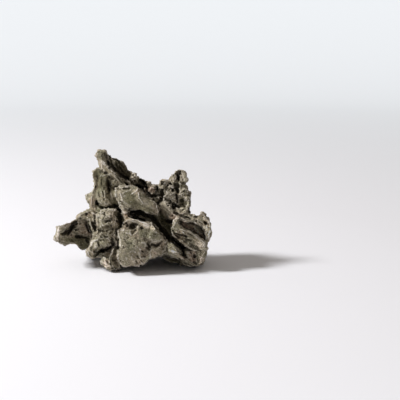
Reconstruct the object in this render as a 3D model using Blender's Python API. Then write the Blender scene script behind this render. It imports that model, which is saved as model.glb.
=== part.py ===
# Seiryu stone: one craggy piece of folded grey limestone, standing on three small flats.
# It is carved the way a sculptor works from drawings. Every block of the stone is drawn as it shows from
# one side, given a depth, and run back from there. The blocks are grown together, pits and cracks are
# cut into them, the skin is weathered, the underside is cut flat where it stands, and the whole is
# reduced to flat facets.
# Drawing units are millimetres: across runs to the right, up runs up, and depth runs away from the
# viewer. The front is drawn from a little above, as it looks from EYE_DISTANCE. The other sides are
# drawn level.

from math import cos, radians, sin

import bmesh
import bpy
import numpy as np
from mathutils import Matrix, Vector, noise

MM = 0.001
STONE_LENGTH = 155.0  # mm, left tip to right rim

# Viewpoint of the front drawing
EYE_DISTANCE = 1200.0
EYE_ELEVATION = radians(10.0)
AIM = Vector((67.0, 0.0, 66.8))
AIM_ACROSS = 67.0
AIM_UP = 71.0

GRAIN = 0.9  # mm, the grid on which the blocks grow together
FACETS = 9600

# How a block closes behind its rim: how far back, and how much of its taper it has made there
ROUNDING = ((0.0, 0.0), (0.3, 0.05), (0.6, 0.25), (0.85, 0.6))

# Where and how the cuts of the front bite
CUT_EDGE = 1.6  # a cut fades out this many times its half width from its path
CUT_FACING = 3.0  # how quickly a cut gains depth as the skin turns to the viewer
CUTS_END = 14.0  # mm of depth, behind which nothing is cut
CUTS_FADE = 6.0  # mm of depth over which the cuts fade out

# Relief worn into the skin, in mm
LUMP_SPACING = 14.0
LUMP_HEIGHT = 1.0
LUMP_SMOOTHNESS = 0.8
LUMP_RATIO = 2.2
LUMP_LAYERS = 4
BED_SPACING = 8.5
BED_HEIGHT = 1.3
BED_WAVE = 0.45  # of a bed's spacing
BED_WAVE_SPACING = 26.0
SWELL_SPACING = 17.0
SWELL_HEIGHT = 3.4
SWELL_LEVEL = 0.4  # swells sink the skin more than they raise it
RAVINE_SPACING = 12.0
RAVINE_DEPTH = 3.6
RAVINE_WIDTH = 0.14
RAVINE_SHIFT = Vector((7.3, 1.9, 4.4))  # keeps the ravines apart from the swells
STRETCH = 0.36  # swells and ravines are drawn out along the beds
BED_ACROSS = Vector((0.62, 0.28, 0.73))  # square to the beds, which dip to the right

# How much of the relief the front, which the drawing shapes, takes beside the other sides
TURN_AWAY = 1.4
LEAST_AWAY = 0.15
BEHIND_START = 2.0  # mm of depth
BEHIND_RUN = 14.0
LEAST_BEHIND = 0.2

# Every block of the front: its outline in the drawing, the depth of its face and of its back, lean and
# turn (how many mm the face goes back for each mm up or to the right), crown (how far its middle stands
# proud), rim (the worn edge) and taper (the size of its back end)
FRONT_BLOCKS = {
    "horn head": dict(
        outline=[(-36, 120.5), (-34, 122.8), (-31.8, 123.6), (-29, 122.2), (-26.3, 119), (-25, 114),
                 (-26, 109), (-30, 107), (-34, 108), (-35.3, 112), (-37.4, 114.8), (-37.3, 118)],
        face=-9, back=13, lean=0.2, turn=0.1, crown=2.5, rim=2.5),
    "sail": dict(
        outline=[(-29, 120.5), (-26, 119.6), (-23, 117.4), (-18, 114), (-13, 112), (-9, 109.6),
                 (-6, 105.5), (-3.8, 100.8), (-2.6, 95.5), (-2, 89), (-5, 86), (-9, 88), (-16, 95),
                 (-23, 103), (-27, 110), (-30, 116)],
        face=3, back=20, turn=0.25, lean=-0.1, crown=-3, rim=1.2),
    "sail rib": dict(
        outline=[(-27, 118), (-25, 117), (-23.5, 112), (-22, 105.5), (-20.5, 103), (-23, 104),
                 (-25, 110), (-27, 115)],
        face=-3, back=14, rim=0.8),
    "sail ledge": dict(
        outline=[(-22, 103), (-15, 97), (-11, 93.5), (-5, 90.5), (-3, 87.5), (-6, 86.5), (-12, 90.5),
                 (-17, 95), (-22, 100.5)],
        face=-6, back=14, turn=0.2, rim=1),
    "spine": dict(
        outline=[(-34, 113), (-30, 111.5), (-27, 108.5), (-23, 105), (-18, 99.5), (-14, 93.5),
                 (-9, 87.5), (-6, 84), (-10, 83), (-14, 86.5), (-19, 92.5), (-23, 95.5), (-27, 97),
                 (-31, 100.2), (-34, 102), (-34.3, 108)],
        face=-15, back=12, lean=0.12, turn=-0.12, crown=1.5, rim=1.6),
    "spine foot": dict(
        outline=[(-26, 97), (-21, 96), (-17, 92), (-13, 87), (-10, 83), (-15, 81.5), (-21, 82.5),
                 (-25, 86), (-26, 92)],
        face=-13, back=8, lean=-0.25, crown=1, rim=1.5),
    "shoulder left": dict(
        outline=[(-41.6, 102.4), (-37, 104.2), (-34, 103), (-33, 93), (-34, 84), (-36, 74),
                 (-38, 65), (-42.5, 64.5), (-44, 71), (-42, 77), (-39.6, 82), (-38.8, 88), (-39.2, 94),
                 (-41, 98)],
        face=-11, back=22, lean=0.15, crown=1.5, rim=1.6),
    "shoulder middle": dict(
        outline=[(-35.5, 104), (-31, 101.5), (-27, 98), (-25.3, 93), (-25.3, 83), (-24.2, 73),
                 (-20, 65), (-27, 62.5), (-34, 66), (-36.5, 74), (-35.5, 83), (-35, 93)],
        face=-17, back=22, lean=0.22, turn=-0.15, crown=2, rim=2),
    "shoulder right": dict(
        outline=[(-23.6, 86), (-19, 83), (-17, 76), (-14.5, 70), (-13.5, 63), (-20, 64),
                 (-23, 71), (-24, 78)],
        face=-17, back=10, lean=0.2, turn=0.3, crown=1.5, rim=1.5),
    "shoulder foot": dict(
        outline=[(-43.5, 67), (-35, 66), (-29, 63), (-24, 61), (-29, 58), (-36, 55), (-41, 56),
                 (-43.5, 61)],
        face=-13, back=22, lean=0.3, turn=-0.2, rim=1.5),
    "shoulder nub": dict(
        outline=[(-48, 77), (-43, 78.2), (-39, 79), (-39, 65), (-44, 66), (-46.8, 69),
                 (-48.2, 73)],
        face=-9, back=16, crown=2, rim=1.8),
    "shelf": dict(
        outline=[(-18.3, 82.5), (-13, 84.4), (-5, 85), (0, 85.2), (4, 85.8), (8, 83.3), (12, 78.8),
                 (17, 73.3), (23, 68.8), (25.8, 64.2), (27.4, 58), (24, 55.3), (17, 56.5), (11, 58.5),
                 (4, 61), (-2, 60.3), (-6, 56.6), (-9, 57.5), (-12, 60.5), (-14.7, 65), (-15.7, 71.5),
                 (-18, 74), (-18.6, 79)],
        face=-31, back=10, lean=0.3, turn=0.08, crown=4.5, peak=(5, 77), rim=1.3),
    "shelf shoulder": dict(
        outline=[(-18.5, 82.5), (-13, 84), (-10, 79), (-10, 71), (-14.7, 70.5), (-18, 74),
                 (-18.6, 79)],
        face=-28.5, back=5, turn=-0.4, lean=0.25, rim=1),
    "second ledge": dict(
        outline=[(-3, 57.5), (1, 58.5), (7, 57.5), (14, 54.5), (20, 50.5), (17, 49), (9, 52), (1, 54),
                 (-4, 54.5)],
        face=-18, back=8, turn=0.2, rim=1),
    "chute": dict(
        outline=[(25, 67), (30, 72.5), (35, 69), (39, 64), (42, 59), (43, 53), (39.8, 47), (38.5, 41),
                 (39, 33), (35, 35.5), (30, 42), (26.5, 48), (23, 53), (24, 60)],
        face=-13, back=16, lean=-0.25, turn=-0.55, rim=2),
    "chute brow": dict(
        outline=[(30, 72.5), (35, 69), (39.5, 63.5), (44, 59.5), (46.5, 54.5), (40, 49), (35, 52),
                 (33, 60), (29.5, 66)],
        face=-20, back=14, turn=-0.15, lean=0.2, crown=2, rim=2),
    "crust": dict(
        outline=[(13, 87), (18, 85.5), (23, 87.3), (28, 91), (33, 91.3), (38, 93.5), (43, 92.5),
                 (49, 88), (55, 85.6), (57.6, 79.5), (58.6, 72), (58.2, 65), (57.6, 58.5), (53, 55.5),
                 (47, 56.5), (41, 60), (36, 68), (30, 73), (25, 72), (20, 72), (14, 77), (11, 83)],
        face=-11, back=36, lean=0.45, turn=0.1, crown=5, rim=3.5),
    "horn fin": dict(
        outline=[(46, 101.6), (49, 102.2), (52.8, 100.5), (55, 96.5), (56, 92.6), (55.6, 88.4),
                 (53, 85.8), (49, 86), (46.5, 92)],
        face=-7, back=13, turn=0.4, crown=1.5, rim=1.5),
    "horn hump": dict(
        outline=[(37.6, 92), (38.7, 96.3), (42, 100.2), (45.5, 101), (46, 95), (46, 88), (41, 88)],
        face=-3, back=16, lean=0.2, crown=2, rim=2),
    "saddle": dict(
        outline=[(-4.6, 99.8), (-2, 101.3), (1, 99.3), (4.4, 98.4), (6, 93.6), (8.6, 92.4), (13, 90.3),
                 (16.8, 89.6), (19.5, 86.5), (17, 79), (13, 80), (9, 85), (4, 86.5), (-2, 84.5),
                 (-6, 84.5), (-4, 91)],
        face=0, back=28, lean=0.2, turn=0.1, crown=2.5, rim=2.5),
    "saddle knob": dict(
        outline=[(-2.5, 98), (0, 99.3), (3.5, 98.6), (4.6, 94), (3, 89.5), (-1, 89), (-3, 93)],
        face=-5, back=8, crown=2, rim=1.5),
    "brown lump": dict(
        outline=[(14, 85.5), (18, 86.5), (23, 85.5), (25.5, 81), (23.5, 76.5), (17, 77), (13.5, 81)],
        face=-11, back=10, crown=2, rim=1.8),
    "boss": dict(
        outline=[(-36.3, 57), (-33, 60), (-28, 62), (-22, 63), (-17, 63.5), (-14.3, 60.5),
                 (-13.8, 55), (-12.3, 50), (-12.6, 44), (-16, 41.5), (-19, 38.5), (-22, 33.5),
                 (-28, 32), (-35, 32), (-37.3, 39), (-37.3, 49)],
        face=-32, back=10, lean=0.2, crown=3.5, peak=(-27, 50), rim=2.5),
    "crumb": dict(
        outline=[(-21, 42), (-16, 43), (-14.2, 37), (-13.5, 31), (-17, 29), (-21, 31), (-24, 33),
                 (-23, 39)],
        face=-29, back=6, crown=1, rim=1.5),
    "arm": dict(
        outline=[(-76, 45.6), (-71, 46.5), (-67, 48), (-62, 50.5), (-57, 52), (-53, 55.5),
                 (-45, 59.5), (-38, 60.5), (-36, 54), (-36, 43), (-36, 33), (-41, 30), (-43, 25),
                 (-46, 21), (-48.5, 19.6), (-53, 20.4), (-54.6, 23), (-57.2, 26), (-62, 27.6),
                 (-66, 27), (-68, 26), (-72, 28.4), (-75.8, 29.6), (-78, 32), (-77.2, 35),
                 (-75.7, 39)],
        face=-7, back=30, turn=0.42, crown=-4, peak=(-50, 36), rim=1.5),
    "arm tip": dict(
        outline=[(-76.8, 45.6), (-73, 46.2), (-72.2, 39), (-73.2, 33), (-71.5, 27.8), (-76, 29.2),
                 (-78.2, 32), (-77.8, 35), (-76.8, 39)],
        face=-23, back=8, rim=1.2),
    "arm flap": dict(
        outline=[(-74, 46), (-67, 48), (-62, 50.5), (-57, 52), (-55.5, 49.5), (-60, 47), (-64, 43.5),
                 (-68, 40.5), (-72.5, 38.5)],
        face=-20, back=10, turn=0.35, rim=1.2),
    "arm cap": dict(
        outline=[(-58, 51.5), (-57.2, 56.2), (-53, 58.4), (-49, 60.4), (-45, 62.2), (-42, 62.4),
                 (-37.5, 59.5), (-36.8, 54), (-42, 51.5), (-48, 50.5), (-53, 50)],
        face=-15, back=26, lean=0.3, crown=1, rim=1.8),
    "arm rib": dict(
        outline=[(-46.8, 52), (-44, 53.4), (-41.8, 51), (-39.8, 45), (-37.8, 39), (-36, 33.5),
                 (-38, 29.5), (-41.3, 32.6), (-42.4, 39), (-44.4, 45)],
        face=-21, back=2, rim=1.2),
    "arm column": dict(
        outline=[(-41, 58.5), (-36.5, 58), (-35.8, 49), (-35.3, 39), (-35.8, 32.5), (-38, 37),
                 (-39.3, 44), (-41, 51)],
        face=-21, back=2, turn=-0.3, rim=1.2),
    "lip": dict(
        outline=[(-35, 33.5), (-27, 34), (-24, 33.5), (-21.8, 31.5), (-21, 28), (-24, 24.8),
                 (-28, 22.7), (-32, 22), (-35, 20), (-38, 17), (-38.5, 13), (-41, 12), (-45.4, 13.6),
                 (-47.6, 19), (-46.4, 21.8), (-43.4, 25.3), (-41.4, 30), (-38.3, 32.6)],
        face=-32, back=4, lean=0.15, crown=2, rim=1.6),
    "lip tail": dict(
        outline=[(-25, 32), (-21, 30), (-17, 29.5), (-19, 26), (-22, 23), (-27, 21.5), (-30, 23)],
        face=-24, back=4, lean=-0.3, rim=1.2),
    "under ledge": dict(
        outline=[(-39, 16.5), (-34, 19.3), (-29, 19.8), (-22.5, 20.8), (-22, 17), (-24, 13.3),
                 (-29, 13.3), (-39, 13.3)],
        face=-23, back=16, rim=1),
    "cavity wall": dict(
        outline=[(-40, 22), (-30, 27), (-22, 27), (-20, 18), (-24, 14.5), (-38, 14.5)],
        face=-17, back=16, rim=1),
    "heel": dict(
        outline=[(-17.5, 31), (-14.8, 30.3), (-14, 25), (-14.5, 19), (-15, 13), (-13.5, 8),
                 (-11.8, 4.5), (-12.2, 0.6), (-16, 1), (-20.3, 3.6), (-22.5, 7), (-24, 11),
                 (-25, 14), (-23.6, 17.8), (-20.6, 21.8), (-18, 24.8), (-16.9, 27.8)],
        face=-32, back=0, turn=0.7, crown=-1.5, rim=1.2),
    "toe": dict(
        outline=[(-32.8, 11), (-29.4, 13.4), (-24.5, 13.6), (-22.5, 10), (-20.5, 6), (-17.5, 3),
                 (-13, 1), (-15, -0.6), (-19, -1), (-23, -1), (-28.3, 2.8), (-32.8, 7)],
        face=-35, back=-8, crown=1.5, rim=1.8, taper=0.9),
    "lobe": dict(
        outline=[(-16.4, 40), (-14.3, 42.5), (-11.5, 42), (-11, 46), (-8.5, 50.3), (-5, 52), (-1, 53.6),
                 (3, 53.6), (8, 52), (13, 50.5), (18, 49.5), (22.3, 47.5), (25, 43.4), (27.6, 39.2),
                 (30.6, 36.2), (33.6, 32), (34, 27), (32.5, 21), (30, 15.5), (25, 14.2),
                 (23, 12.4), (17, 11.6), (15, 9), (11, 6.8), (8, 5), (3, 4.3), (-2, 4.3), (-6, 2.8),
                 (-10, 4.2), (-13, 6.5), (-16, 9.2), (-16.6, 14), (-15, 18), (-16.6, 20.5), (-14, 24),
                 (-13.6, 28), (-14.6, 32), (-16.5, 36)],
        face=-44, back=2, lean=0.2, turn=0.2, crown=4, peak=(4, 30), rim=1.6),
    "lobe crown": dict(
        outline=[(-11, 61.5), (-8, 59), (-4, 55.6), (-1.5, 52), (-4, 48), (-8, 46), (-10.5, 45.5),
                 (-12.2, 52), (-13, 58)],
        face=-29, back=6, lean=0.3, crown=1, rim=1.5),
    "lobe cheek": dict(
        outline=[(17, 40), (22, 44), (26.5, 39), (30.6, 35), (33.4, 31), (32.5, 25), (28, 22),
                 (21, 22.5), (17, 27), (15, 34)],
        face=-42, back=-10, turn=0.5, crown=2.5, rim=2),
    "wedge": dict(
        outline=[(33.6, 31), (37, 31.8), (42.4, 28.5), (45.4, 25.3), (48, 21.2), (51.4, 15.3),
                 (55, 11.3), (60, 7.3), (63.5, 3.6), (58, 3.8), (52, 5.9), (45, 9.4), (39, 13.4),
                 (32, 15), (32.6, 21), (33, 26)],
        face=-31, back=6, turn=0.15, lean=0.3, crown=2, rim=1.8),
    "under wedge": dict(
        outline=[(24, 16), (33, 17.5), (40, 16), (47, 12), (54, 7), (47, 6), (39, 8.2), (30, 11.6)],
        face=-19, back=12, lean=-0.3, rim=1.5),
    "right slab": dict(
        outline=[(44.7, 55), (47.7, 53.6), (45.6, 50), (45.3, 47), (47.3, 44.6), (52, 42.6), (57, 41.6),
                 (61, 39.6), (65.2, 36), (69.2, 32), (73.3, 28.4), (75.3, 24), (74.6, 19.6), (67, 20),
                 (62, 20.6), (58, 20.6), (53, 23.1), (48, 26.5), (44.7, 30), (40.7, 32.6), (38.5, 36),
                 (37.8, 42), (39, 47.3), (41.6, 51.8)],
        face=-34, back=14, lean=0.22, turn=0.18, crown=2, rim=1.2),
    "right rim": dict(
        outline=[(59, 52), (60.3, 55.6), (64, 56.8), (68.6, 59.6), (73, 57.8), (76.6, 52.6), (78.4, 47.2),
                 (78.7, 41), (77.9, 34), (75.6, 27.3), (74, 24.6), (72.3, 28), (73.3, 33), (71.6, 38),
                 (68.4, 42.4), (64.3, 46.4)],
        face=-24, back=16, turn=0.2, rim=1.4),
    "hollow wall": dict(
        outline=[(44, 54), (59, 52), (67, 46), (74, 38), (75, 28), (70, 24), (45, 39), (42, 47)],
        face=-9, back=20, lean=-0.3, turn=-0.1, rim=1),
    "hollow brow": dict(
        outline=[(45.7, 54), (51, 52.5), (57, 51.8), (62, 52.5), (66, 49.2), (70, 45.2), (73.3, 40.5),
                 (70, 40.6), (66, 44.6), (61, 47.8), (56, 49.1), (51, 49.6), (46.6, 49.1)],
        face=-27, back=2, turn=0.1, rim=1),
    "hollow top": dict(
        outline=[(42.5, 61), (49, 59), (55, 58), (60, 56), (60, 51.5), (51, 51), (44.5, 54)],
        face=-21, back=14, lean=0.3, crown=1.5, rim=1.8),
    "right foot": dict(
        outline=[(48, 21), (53, 22), (59, 21.5), (66, 21.5), (74.2, 21.5), (73.4, 15), (71.2, 9.6),
                 (68.6, 5.4), (63, 4), (59, 5.4), (54.8, 9.6), (51, 13.8), (48.5, 18)],
        face=-26, back=27, lean=0.1, crown=1.5, rim=1.6, taper=0.92),
    "body": dict(
        outline=[(-42, 52), (-38, 64), (-32, 84), (-20, 86), (-5, 80), (15, 76), (40, 78), (52, 72),
                 (54, 56), (66, 45), (66, 25), (55, 18), (30, 17), (5, 14), (-15, 18), (-30, 22),
                 (-44, 28)],
        face=-9, back=32, rim=4, taper=0.85),
    "back foot": dict(
        outline=[(-47, 15), (-42, 12.2), (-37.5, 12.6), (-32, 25), (-36, 40), (-46, 38), (-49, 26)],
        face=18, back=50, rim=3, taper=0.95),
}

# Knobs of the crust: across, up, radius
CRUST_KNOBS = [
    (16, 88, 2.4), (20.5, 83.5, 2.8), (27.5, 89, 2.6), (33.5, 90, 2.4), (30.5, 84, 3), (36, 82, 2.8),
    (40.5, 88.5, 2.6), (48, 88, 2.8), (51.5, 80, 3.4), (47.5, 75, 3.2), (38.5, 75.5, 3.2),
    (33, 76, 2.8), (54, 72.5, 3.2), (46, 61.5, 2.8), (52, 61, 3.2), (56, 66.5, 2.6), (42, 70, 2.4),
]
KNOB_SIDES = 8
KNOB_DEPTH = 12.0  # mm, from the face of a knob back into the crust

# Blocks of the back, drawn level from behind
BACK_BLOCKS = {
    "crest": dict(
        outline=[(32, 105), (28, 107), (22, 100), (12, 90), (0, 80), (-12, 75), (-20, 73), (-32, 79),
                 (-42, 83), (-50, 80), (-54, 72), (-50, 64), (-36, 61), (-20, 57), (-4, 58), (10, 66),
                 (24, 78), (34, 90)],
        face=-24, back=6, lean=0.3, crown=3, rim=3),
    "plate": dict(
        outline=[(38, 88), (42, 74), (42, 60), (34, 50), (20, 41), (4, 35), (-12, 35), (-20, 43),
                 (-12, 54), (4, 63), (20, 74), (30, 85)],
        face=-37, back=-6, lean=0.3, turn=-0.1, crown=3, rim=2.5),
    "knob": dict(
        outline=[(63, 33), (53, 42), (44, 48), (34, 44), (28, 32), (33, 21), (46, 14), (58, 18)],
        face=-40, back=-4, turn=0.25, crown=3, rim=2.5),
    "mass": dict(
        outline=[(-54, 67), (-46, 75), (-34, 73), (-24, 65), (-26, 53), (-38, 46), (-52, 48),
                 (-57, 57)],
        face=-37, back=-4, lean=0.25, crown=3, rim=3),
    "low slab": dict(
        outline=[(-75, 34), (-71, 45), (-62, 50), (-50, 46), (-38, 37), (-36, 25), (-46, 15),
                 (-58, 13), (-69, 20)],
        face=-30, back=0, lean=0.2, turn=-0.15, crown=3, rim=2.5),
    "skirt": dict(
        outline=[(-38, 33), (-24, 39), (-4, 38), (14, 34), (28, 28), (31, 18), (18, 13), (-2, 11),
                 (-22, 11), (-36, 18)],
        face=-48, back=0, lean=0.45, crown=3, rim=2.5),
    "sill": dict(
        outline=[(-61, 13), (-52, 17), (-36, 18), (-18, 17), (-8, 14), (-7, 7), (-14, 3.2),
                 (-26, 2.4), (-40, 2.6), (-52, 2.8), (-60, 5)],
        face=-42, back=-21, lean=0.15, rim=1.5, taper=0.95),
}

# Pits, cracks and grooves of the front: their path in the drawing, half their width, and how deep they
# are cut along the line of sight
FRONT_CUTS = {
    "shoulder crack": dict(path=[(-24.5, 93), (-24.3, 86), (-24, 79)], width=1.3, depth=5),
    "shoulder foot crack": dict(
        path=[(-35, 67), (-32, 64), (-28, 62.6), (-21, 64), (-14, 63.5)], width=1.4, depth=5),
    "boss crack": dict(path=[(-14.5, 58), (-12.5, 52), (-11, 45), (-12, 42)], width=1.8, depth=9),
    "boss pit": dict(path=[(-27.5, 49.8), (-24.5, 50)], width=2, depth=3),
    "boss lower pit": dict(path=[(-26, 44), (-24, 42.5)], width=2, depth=2),
    "arm slit": dict(path=[(-57.5, 47.5), (-62, 43), (-68, 38.5), (-71.5, 38)], width=2, depth=7),
    "arm crack": dict(path=[(-45.5, 49), (-43.5, 42), (-42, 37)], width=1.6, depth=5),
    "arm groove": dict(path=[(-57, 34.5), (-50, 34), (-45, 34.5)], width=1.5, depth=2.5),
    "arm column pit": dict(path=[(-38.8, 48), (-38.5, 42)], width=1.5, depth=4),
    "lip cavity": dict(path=[(-37, 20), (-31, 21.5), (-25, 22), (-21, 27)], width=1.8, depth=8),
    "lobe bowl": dict(path=[(-8, 46.5), (-4.5, 44.5)], width=3.8, depth=4),
    "lobe hole": dict(path=[(-1, 44.5), (0.5, 45.5)], width=3.2, depth=8),
    "lobe slit": dict(path=[(0, 39.5), (3, 41.5)], width=1.5, depth=5),
    "lobe pit": dict(path=[(8, 43)], width=1.8, depth=3),
    "lobe notch": dict(path=[(16, 28.5), (15.7, 23)], width=2, depth=5),
    "lobe side crack": dict(path=[(19.5, 27), (22, 25.5), (25, 26)], width=2, depth=5),
    "lobe lower pit": dict(path=[(9.5, 20), (10, 16)], width=2.5, depth=3),
    "lobe dimple": dict(path=[(1, 19), (4, 15)], width=3, depth=2.5),
    "crust pit a": dict(path=[(24, 83), (24.5, 80)], width=1.8, depth=5),
    "crust pit b": dict(path=[(28.5, 79), (28.8, 73)], width=1.8, depth=6),
    "crust pit c": dict(path=[(34, 85), (37, 87)], width=1.8, depth=4),
    "crust pit d": dict(path=[(39, 81)], width=2.2, depth=4),
    "crust pit e": dict(path=[(43.5, 85), (44.5, 79)], width=2, depth=6),
    "crust pit f": dict(path=[(43.5, 75), (44, 71)], width=1.8, depth=5),
    "crust pit g": dict(path=[(48.5, 71), (51, 67)], width=2.5, depth=5),
    "crust pit h": dict(path=[(41.5, 66), (39.5, 63)], width=1.8, depth=5),
    "crust pit i": dict(path=[(44, 65), (48, 64.5)], width=1.5, depth=4),
    "crust pit j": dict(path=[(20, 80), (15, 76.5), (22, 74.5)], width=2.2, depth=6),
    "horn groove": dict(path=[(46, 102), (45.6, 96), (45.8, 92)], width=1.6, depth=5),
    "saddle crack": dict(path=[(6, 91), (10, 88), (14, 83)], width=2.2, depth=8),
    "chute pit": dict(path=[(34.5, 50.5), (38, 49.5)], width=1.8, depth=5),
    "rim hole": dict(path=[(71.5, 49.5), (72.3, 47.3)], width=1.5, depth=5),
    "foot crack": dict(path=[(49, 22.5), (51, 17), (53.5, 13)], width=1.6, depth=7),
    "foot pit": dict(path=[(61.5, 16), (61.3, 13.5)], width=1.6, depth=3),
    "slab grain a": dict(path=[(42, 37), (46, 34.5)], width=1.3, depth=2.5),
    "slab grain b": dict(path=[(47, 35.8), (54, 34)], width=1.3, depth=2),
    "slab grain c": dict(path=[(57, 26), (64, 23)], width=1.6, depth=2.5),
}

TOWARD = Vector((0.0, cos(EYE_ELEVATION), -sin(EYE_ELEVATION)))
TRUE_UP = Vector((0.0, sin(EYE_ELEVATION), cos(EYE_ELEVATION)))
EYE = AIM - TOWARD * EYE_DISTANCE
BEHIND = Matrix.Rotation(radians(180), 3, "Z")


def front_point(across, up, depth):
    # The point at this depth that shows at (across, up) in the front drawing
    on_plane = AIM + Vector((across - AIM_ACROSS, 0, 0)) + TRUE_UP * (up - AIM_UP)
    return EYE + (on_plane - EYE) * ((depth - EYE.y) / (on_plane.y - EYE.y))


def back_point(across, up, depth):
    return BEHIND @ Vector((across, depth, up))


def add_block(bm, place, outline, face, back, lean=0.0, turn=0.0, crown=0.0, peak=None, rim=2.0,
              taper=0.6):
    # One block: a worn front rim, then rounding off towards the back
    points = [Vector(p) for p in outline]
    centre = sum(points, Vector((0.0, 0.0))) / len(points)
    radius = sum((p - centre).length for p in points) / len(points)

    def ring(size, base, slope):
        made = []
        for p in points:
            q = centre + (p - centre) * size
            depth = base + slope * (turn * (q.x - centre.x) + lean * (q.y - centre.y))
            made.append(bm.verts.new(place(q.x, q.y, depth)))
        return made

    rings = [ring(1.0 - rim / radius, face, 1.0)]
    for share, closing in ROUNDING:
        rings.append(ring(1 - (1 - taper) * closing, face + rim + share * (back - face), 1 - share))
    rings.append(ring(taper, back, 0.0))
    top = Vector(peak) if peak else centre
    top_depth = face - crown + turn * (top.x - centre.x) + lean * (top.y - centre.y)
    tips = [place(top.x, top.y, top_depth), place(centre.x, centre.y, back + rim)]
    for tip, loop, facing in zip(tips, (rings[0], rings[-1]), (1, -1)):
        apex = bm.verts.new(tip)
        for a, b in zip(loop, loop[1:] + loop[:1]):
            bm.faces.new((apex, a, b)[::facing])
    for near, far in zip(rings, rings[1:]):
        for i in range(len(points)):
            j = (i + 1) % len(points)
            bm.faces.new((near[i], far[i], far[j], near[j]))


def add_crust_knobs(bm):
    crust = FRONT_BLOCKS["crust"]
    middle = sum((Vector(p) for p in crust["outline"]), Vector((0, 0))) / len(crust["outline"])
    for across, up, radius in CRUST_KNOBS:
        outline = [
            (across + radius * cos(radians(a)), up + radius * sin(radians(a)))
            for a in range(0, 360, 360 // KNOB_SIDES)
        ]
        plane = crust["face"] + crust["turn"] * (across - middle.x) + crust["lean"] * (up - middle.y)
        add_block(bm, front_point, outline, plane - radius, plane - radius + KNOB_DEPTH, rim=radius / 2)


def applied(obj):
    # The mesh as its modifiers make it
    graph = bpy.context.evaluated_depsgraph_get()
    mesh = bpy.data.meshes.new_from_object(obj.evaluated_get(graph))
    old = obj.data
    obj.modifiers.clear()
    obj.data = mesh
    bpy.data.meshes.remove(old)


def reskin(stone):
    # One closed skin around everything that overlaps
    remesh = stone.modifiers.new("skin", "REMESH")
    remesh.mode = "VOXEL"
    remesh.voxel_size = GRAIN
    applied(stone)


def grow_together():
    # All the blocks as one skin
    bm = bmesh.new()
    for shape in FRONT_BLOCKS.values():
        add_block(bm, front_point, **shape)
    add_crust_knobs(bm)
    for shape in BACK_BLOCKS.values():
        add_block(bm, back_point, **shape)
    bmesh.ops.recalc_face_normals(bm, faces=bm.faces)
    mesh = bpy.data.meshes.new("stone")
    bm.to_mesh(mesh)
    bm.free()
    stone = bpy.data.objects.new("stone", mesh)
    bpy.context.scene.collection.objects.link(stone)
    reskin(stone)
    return stone


def drop_crumbs(stone):
    # Only the outer skin stays: crumbs beside it and bubbles inside it go
    bm = bmesh.new()
    bm.from_mesh(stone.data)
    loose = set(bm.verts)
    bodies = []
    while loose:
        body = {loose.pop()}
        edge_of_body = list(body)
        while edge_of_body:
            vertex = edge_of_body.pop()
            new = {edge.other_vert(vertex) for edge in vertex.link_edges} - body
            body |= new
            edge_of_body.extend(new)
        loose -= body
        bodies.append(body)
    stays = max(bodies, key=len)
    bmesh.ops.delete(bm, geom=[v for v in bm.verts if v not in stays], context="VERTS")
    bm.to_mesh(stone.data)
    bm.free()


def read_points(mesh):
    points = np.empty(len(mesh.vertices) * 3)
    mesh.vertices.foreach_get("co", points)
    return points.reshape(-1, 3)


def read_normals(mesh):
    normals = np.empty(len(mesh.vertices) * 3)
    mesh.vertices.foreach_get("normal", normals)
    return normals.reshape(-1, 3)


def write_points(mesh, points):
    mesh.vertices.foreach_set("co", points.ravel())
    mesh.update()


def off_path(drawn, path):
    # How far each drawn point is from a path
    ends = np.array(path if len(path) > 1 else path * 2, float)
    nearest = np.full(len(drawn), np.inf)
    for a, b in zip(ends, ends[1:]):
        run = b - a
        along = ((drawn - a) @ run) / max(run @ run, 1e-9)
        foot = a + np.clip(along, 0, 1)[:, None] * run
        nearest = np.minimum(nearest, np.linalg.norm(drawn - foot, axis=1))
    return nearest


def cut_front(stone):
    # Every cut pushes the skin that faces the viewer straight back
    points = read_points(stone.data)
    eye = np.array(EYE)
    sight = points - eye
    reach = EYE_DISTANCE / (sight @ np.array(TOWARD))
    drawn = np.column_stack((
        AIM_ACROSS + sight[:, 0] * reach,
        AIM_UP + (sight @ np.array(TRUE_UP)) * reach,
    ))
    sight /= np.linalg.norm(sight, axis=1)[:, None]
    facing = np.clip(-np.einsum("ij,ij->i", read_normals(stone.data), sight) * CUT_FACING, 0, 1)
    in_front = np.clip((CUTS_END - points[:, 1]) / CUTS_FADE, 0, 1)
    push = np.zeros(len(points))
    for cut in FRONT_CUTS.values():
        share = np.clip(1 - off_path(drawn, cut["path"]) / (CUT_EDGE * cut["width"]), 0, 1)
        push = np.maximum(push, cut["depth"] * share * share * (3 - 2 * share))
    write_points(stone.data, points + sight * (push * facing * in_front)[:, None])


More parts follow.
